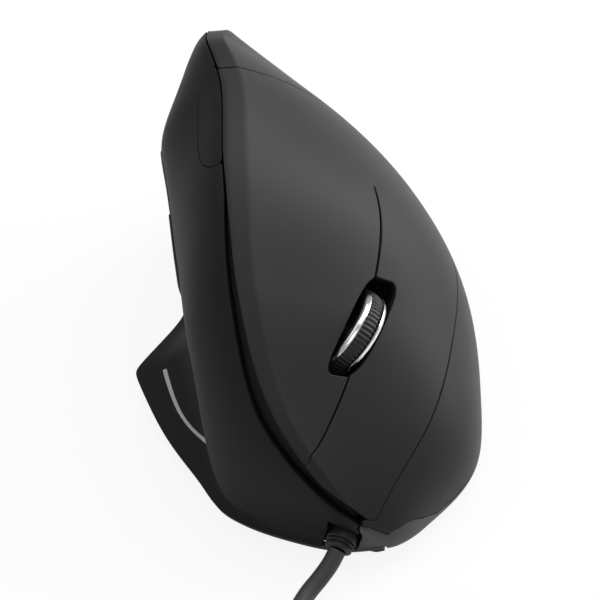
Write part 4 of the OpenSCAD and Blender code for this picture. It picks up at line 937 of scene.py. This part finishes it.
def circle(x, y, r):
    a = np.linspace(0, 2 * np.pi, 40, endpoint=False)
    return np.stack([x + r * np.cos(a), y + r * np.sin(a)], -1)


def underside(loop):
    """Outline seen from below."""
    return np.asarray(loop) * [1, -1]


SCREWS = [(-2.43, 1.14), (13.96, -2.86), (-0.57, -14.88), (-17.67, -30.0), (-15.1, 16.8)]
LENS_AT = (7.0, 20.0)


def at_nose(s, t):
    return (np.abs(s - NOSE_S) < 1e-4) | (t < 0.01)


nose_end = PALM_FRONT_S - HAIR_S
s_base = between(SKIRT_S[1], TAIL_S, SKIRT_S)
skirt_outline = np.vstack([
    [(NOSE_S, 0), (nose_end, 0), (nose_end, 0.03), (SKIRT_S[1] - HAIR_S, SKIRT_T[1] - HAIR_T)],
    line(s_base, skirt_t(s_base) + HAIR_T), line(between(TAIL_S, NOSE_S), SKIRT_LOW_T)])
skirt = moulding(FINGER, skirt_outline, edge=0.3, corner=0.6, square=at_nose)
nose_outline = [(NOSE_S, 0), (nose_end, 0), (nose_end, NOSE_LOW_T), (NOSE_S, NOSE_LOW_T)]
nose = moulding(THUMB, nose_outline, edge=0.3, corner=0.5, square=at_nose)
s_foot = between(GLAND_S[1] - 0.02, TAIL_S)
foot_outline = np.vstack([line(s_foot, FOOT_ACROSS_T[0]), line(s_foot[::-1], FOOT_ACROSS_T[1])])
foot = moulding(THUMB, foot_outline, thickness=1.5, edge=0.25, corner=0.5)
s_plan = np.linspace(0, 1, 90)
floor_outline = np.vstack([plan(s_plan, False), plan(s_plan[-2:0:-1], True)])
holes = [(p, SCREW_HOLE_R) for p in SCREWS] + [(LENS_AT, LENS_HOLE_R)]
floor_plate = moulding(plane((0, 0, FOOT_T), (1, 0, 0), (0, -1, 0)), underside(floor_outline),
                       [underside(circle(*p, r)) for p, r in holes], thickness=FLOOR_T, edge=0.4, corner=0.4,
                       pitch=5.0)
# Base in grained ABS whose lighter grey colour is a painted sheen.
base = piece("base_moulding", *merged(skirt, nose, foot, floor_plate), slot="base_black", material=BASE_ABS_PAINTED_SHEEN)
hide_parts("base_plate")


def pad(a, b, w=6.0):
    """Glide pad with round ends from a to b."""
    a, b = np.array(a), np.array(b)
    turn = math.atan2(*(b - a)[::-1])
    half = np.linspace(-np.pi / 2, np.pi / 2, 20)
    arc = [p + w / 2 * np.stack([np.cos(half + turn + k), np.sin(half + turn + k)], -1)
           for p, k in ((b, 0), (a, np.pi))]
    return moulding(plane((0, 0, 0), (1, 0, 0), (0, -1, 0)), underside(np.vstack(arc)), thickness=FOOT_T,
                    edge=0.3, corner=0.2, pitch=3.0)


PADS = [((0, -43.2), (16, -43.2)), ((-4, 46.2), (10, 46.2)), ((31.96, -6), (31.96, 8)),
        ((-27.88, -14), (-27.88, -4))]
pads = piece("glide_pads", *merged(*(pad(a, b) for a, b in PADS)), slot="foot", material=PTFE)
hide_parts("feet")


# Wheel, in its own frame: X along the axle and Z out of the keys.
def centre_pt(s):
    return finger_pt(s, centre_t(s))


out = finger_n(np.array(SLOT_S), centre_t(SLOT_S))
axle = unit(np.cross(centre_pt(SLOT_S + 0.002) - centre_pt(SLOT_S - 0.002), out))
turn = math.radians(WHEEL_TURN)
axle = math.cos(turn) * axle + math.sin(turn) * np.cross(out, axle)
wheel_at = Matrix.Translation(Vector((centre_pt(SLOT_S) + (WHEEL_RISE - WHEEL_R) * out) * MM)) @ Matrix(
    [axle, np.cross(out, axle), out]).transposed().to_4x4()


half = TYRE_W / 2
disc = half + 0.1
turned("tyre_core", "wheel_tyre", [
    (-half, HUB_R), (-half, WHEEL_R - 1.2), (-half + 0.5, WHEEL_R - 0.6), (0, WHEEL_R - 0.4),
    (half - 0.5, WHEEL_R - 0.6), (half, WHEEL_R - 1.2), (half, HUB_R)],
       wheel_at, "wheel", "tyre_rubber", RUBBER)
turned("wheel_disc", "wheel_hub", [
    (-disc, AXLE_BORE_R), (-disc, HUB_R - 1.4), (-disc + 0.6, HUB_R - 1.0), (-disc + 0.6, HUB_R),
    (disc - 0.6, HUB_R), (disc - 0.6, HUB_R - 1.0), (disc, HUB_R - 1.4), (disc, AXLE_BORE_R)],
       wheel_at, "wheel", "base_black", INNER_ABS)
for name, side in (("left", -1), ("right", 1)):
    a, b = side * half, side * (half + RING_W)
    turned("bright_ring_" + name, "wheel_rings", [
        (a, HUB_R), (a, WHEEL_R - 0.25), (a + 0.2 * side, WHEEL_R - 0.22), (b - 0.35 * side, WHEEL_R - 0.6),
        (b - 0.1 * side, WHEEL_R - 0.9), (b, WHEEL_R - 1.3), (b, HUB_R + 0.3), (b - 0.2 * side, HUB_R)],
           wheel_at, "wheel", "bright_ring", CHROME)


def group(name, sockets):
    """New geometry node tree with the given inputs and one geometry output, and its input sockets."""
    tree = bpy.data.node_groups.new(name, "GeometryNodeTree")
    for label, kind in sockets.items():
        tree.interface.new_socket(label, in_out="INPUT", socket_type="NodeSocket" + kind)
    tree.interface.new_socket("Geometry", in_out="OUTPUT", socket_type="NodeSocketGeometry")
    return tree, node(tree, "NodeGroupInput").outputs


def placed(tree, points, instance, paint, rotation=(0, 0, 0)):
    """Ends a tree with painted copies of an instance on points."""
    copies = node(tree, "GeometryNodeInstanceOnPoints", None,
                  {"Points": points, "Instance": instance, "Rotation": rotation})
    real = node(tree, "GeometryNodeRealizeInstances", None, {0: copies.outputs[0]})
    painted = node(tree, "GeometryNodeSetMaterial", None, {"Geometry": real.outputs[0], "Material": paint})
    node(tree, "NodeGroupOutput", None, {0: painted.outputs[0]})
    return tree


def ribs():
    """Ribs across the tyre: one bar along the axle, bowed with the tyre's crown, repeated round it."""
    tree, size = group("tyre_ribs", {"Count": "Int", "Radius": "Float", "Width": "Float", "Bow": "Float",
                                     "Bar radius": "Float", "Material": "Material"})
    left, right = (maths(tree, "MULTIPLY", size["Width"], k) for k in (-0.5, 0.5))
    low, high = (maths(tree, way, size["Radius"], size["Bow"]) for way in ("SUBTRACT", "ADD"))
    ends = [node(tree, "ShaderNodeCombineXYZ", None, {"X": x, "Z": z}).outputs[0]
            for x, z in ((left, low), (0.0, high), (right, low))]
    bow = node(tree, "GeometryNodeCurveQuadraticBezier", None,
               {"Resolution": 8, "Start": ends[0], "Middle": ends[1], "End": ends[2]})
    round_ = node(tree, "GeometryNodeCurvePrimitiveCircle", None,
                  {"Resolution": 8, "Radius": size["Bar radius"]})
    bar = node(tree, "GeometryNodeCurveToMesh", None,
               {"Curve": bow.outputs[0], "Profile Curve": round_.outputs[0], "Fill Caps": True})
    points = node(tree, "GeometryNodePoints", None, {"Count": size["Count"]})
    share = maths(tree, "DIVIDE", node(tree, "GeometryNodeInputIndex").outputs[0], size["Count"])
    angle = maths(tree, "MULTIPLY", share, 2 * math.pi)
    spin = node(tree, "FunctionNodeEulerToRotation", None,
                {0: node(tree, "ShaderNodeCombineXYZ", None, {"X": angle}).outputs[0]})
    return placed(tree, points.outputs[0], bar.outputs[0], size["Material"], spin.outputs[0])


def screw_heads():
    """Pan heads with a crossed recess, one on each point of the mesh they are given."""
    tree, size = group("screw_heads", {"Places": "Geometry", "Radius": "Float", "Height": "Float",
                                       "Recess": "Float", "Material": "Material"})
    head = node(tree, "GeometryNodeMeshCylinder", None,
                {"Vertices": 40, "Radius": size["Radius"], "Depth": size["Height"]})
    narrow = maths(tree, "MULTIPLY", size["Recess"], 0.24)
    shift = node(tree, "ShaderNodeCombineXYZ", None, {"Z": maths(tree, "MULTIPLY", size["Height"], -0.5)})
    cut = node(tree, "GeometryNodeMeshBoolean", {"operation": "DIFFERENCE"},
               {"Mesh 1": head.outputs["Mesh"]})
    for x, y in ((size["Recess"], narrow), (narrow, size["Recess"])):
        extent = node(tree, "ShaderNodeCombineXYZ", None, {"X": x, "Y": y, "Z": size["Height"]})
        bar = node(tree, "GeometryNodeMeshCube", None, {"Size": extent.outputs[0]})
        moved = node(tree, "GeometryNodeTransform", None,
                     {"Geometry": bar.outputs["Mesh"], "Translation": shift.outputs[0]})
        tree.links.new(moved.outputs[0], cut.inputs["Mesh 2"])
    return placed(tree, size["Places"], cut.outputs[0], size["Material"])


def grown(name, tree, values, place, body, points=()):
    """Piece made by a node tree with the given inputs, as a plain mesh moved to its place."""
    holder = bpy.data.objects.new(name + "_maker", bpy.data.meshes.new(name + "_maker"))
    holder.data.from_pydata(points, [], [])
    bpy.context.scene.collection.objects.link(holder)
    modifier = holder.modifiers.new("nodes", "NODES")
    modifier.node_group = tree
    for item in tree.interface.items_tree:
        if item.in_out == "INPUT" and item.name in values:
            modifier[item.identifier] = values[item.name]
    depsgraph = bpy.context.evaluated_depsgraph_get()
    mesh = bpy.data.meshes.new_from_object(holder.evaluated_get(depsgraph), depsgraph=depsgraph)
    bpy.data.objects.remove(holder)
    mesh.name = name
    mesh.transform(place)
    return finish_piece(name, mesh, body=body)


grown("tyre_ribs", ribs(), {"Count": 60, "Radius": (WHEEL_R - 0.55) * MM, "Width": (TYRE_W - 0.5) * MM,
                            "Bow": 0.35 * MM, "Bar radius": 0.36 * MM, "Material": RUBBER},
      wheel_at, "wheel")
heads = grown("case_screw_heads", screw_heads(),
              {"Radius": 2.4 * MM, "Height": 1.2 * MM, "Recess": 3.0 * MM, "Material": STEEL},
              Matrix.Identity(4), "case", [(x * MM, y * MM, 1.6 * MM) for x, y in SCREWS])
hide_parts("base_screws")

# Strain relief, with its grooves, about the cable's way out.
boot_x = np.cross(BOOT_DIR, [0, 0, 1.0])
boot_x = boot_x / np.linalg.norm(boot_x)
boot_at = Matrix.Translation(Vector(gland * MM)) @ Matrix(
    [BOOT_DIR, boot_x, np.cross(BOOT_DIR, boot_x)]).transposed().to_4x4()
turned("strain_relief", "cable_boot", [
    (-3.0, 1.9), (-3.0, 3.3), (0.1, 3.5), (0.35, 3.3), (0.45, 2.8), (0.75, 2.8), (0.85, 3.25), (1.05, 3.4),
    (1.25, 3.25), (1.35, 2.7), (1.65, 2.7), (1.75, 3.0), (1.95, 3.15), (2.3, 3.0), (2.6, 2.5), (2.6, 1.9)],
       boot_at, "case", "soft_black", PVC)


# Tie and plug at the far end of the cable
def box_loop(w, h, r, n=6):
    """Rectangle of the given width and height about the origin, with corners of radius r."""
    loop = []
    for k, (x, y) in enumerate(((1, 1), (-1, 1), (-1, -1), (1, -1))):
        for a in np.linspace(0, np.pi / 2, n) + k * np.pi / 2:
            loop.append((x * (w / 2 - r) + r * math.cos(a), y * (h / 2 - r) + r * math.sin(a)))
    return np.array(loop)


def lofted(sections, closed=False):
    """Closed mesh through rings of points, with caps at its ends or joined end to end."""
    n, m = len(sections), len(sections[0])
    faces = [(i * m + k, i * m + (k + 1) % m, (i + 1) % n * m + (k + 1) % m, (i + 1) % n * m + k)
             for i in range(n if closed else n - 1) for k in range(m)]
    if not closed:
        faces += [tuple(range(m))[::-1], tuple((n - 1) * m + k for k in range(m))]
    return np.vstack(sections), faces


tie_low, tie_high = 0.0, COIL_Z + (COIL_LAYERS - 1) * COIL_PITCH + CABLE_D / 2 + 0.95
tie_in, tie_out = COIL_CENTRE[0] + COIL_R - 10.67, COIL_CENTRE[0] + COIL_R + 9.7
tie_mid = np.array([(tie_in + tie_out) / 2, COIL_CENTRE[1], (tie_low + tie_high) / 2])
straps = []
STRAP_EDGE = [(0.1, -5.0), (0.0, -4.8), (0.0, 4.8), (0.1, 5.0), (0.5, 5.0), (0.6, 4.8),
              (0.6, -4.8), (0.5, -5.0)]
for inset, y in STRAP_EDGE:
    ring = box_loop(tie_out - tie_in - 2 * inset, tie_high - tie_low - 2 * inset, 2.6 - inset)
    straps.append(tie_mid + np.stack([ring[:, 0], np.full(len(ring), y), ring[:, 1]], -1))
tie = piece("coil_strap", *lofted(straps, closed=True), slot="tie_black", material=STRAP)
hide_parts("coil_tie")

plug_at = coil_to + [-4.0, -47.0, GRIP_H / 2 - coil_to[2]]
# Places along the grip and its share of the full width there.
GRIP_SHAPE = [(0.0, 0.5), (0.4, 0.62), (2.0, 0.8), (5.0, 0.95), (8.0, 1.0), (11.0, 0.97), (15.0, 0.96),
              (19.0, 0.98), (22.0, 1.0), (25.0, 0.98), (25.7, 0.95), (26.0, 0.9)]
grips = []
for y, share in GRIP_SHAPE:
    ring = box_loop(GRIP_W * share, GRIP_H * min(1.0, share + 0.03), 2.4 * share, 8)
    grips.append(plug_at + np.stack([ring[:, 0], np.full(len(ring), -y), ring[:, 1]], -1))
grip = piece("plug_handle", *lofted(grips), slot="soft_black", material=PVC)
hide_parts("plug_grip")

PLUG_W, PLUG_H, PLUG_L = 12.0, 4.5, 18.75
mouth = plug_at - [0, GRIP_L, 0]
windows = [[(x - 1.1, 7.5), (x + 1.1, 7.5), (x + 1.1, 10.3), (x - 1.1, 10.3)] for x in (-3.0, 3.0)]
sheets = []
for k in (1, -1):
    for at, x, width, cuts in (((0, 0, k * PLUG_H / 2), (-k, 0, 0), PLUG_W, windows),
                               ((k * PLUG_W / 2, 0, 0), (0, 0, k), PLUG_H, ())):
        wall = [(-width / 2, -4.0), (width / 2, -4.0), (width / 2, PLUG_L), (-width / 2, PLUG_L)]
        sheets.append(moulding(plane(mouth + at, x, (0, -1, 0)), wall, cuts, thickness=0.3, edge=0.2,
                               corner=0.3, pitch=4.0))
plug = piece("plug_sheath", *merged(*sheets), slot="steel", material=STEEL)
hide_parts("plug_shell")


# Finishes of the solids that stay
FINISHES = {
    STEEL: ["board_screws", "wheel_axle"],
    INNER_ABS: ["spine_frame", "button_frame", "wheel_yoke", "inner_lead"],
    EPOXY: ["index_switch", "middle_switch", "wheel_switch", "forward_switch", "back_switch", "dpi_switch",
            "wheel_encoder", "optical_sensor", "controller_chip"],
    NYLON: ["index_plunger", "middle_plunger", "wheel_plunger", "forward_plunger", "back_plunger",
            "dpi_plunger", "cable_socket", "plug_tongue"],
    BOARD: ["button_board", "side_board", "dpi_board", "main_board"],
    LENS: ["sensor_lens"],
    LAMP: ["sensor_led"],
}
for finish, names in FINISHES.items():
    for name in names:
        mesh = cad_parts[name].data
        mesh.materials.clear()
        mesh.materials.append(finish)
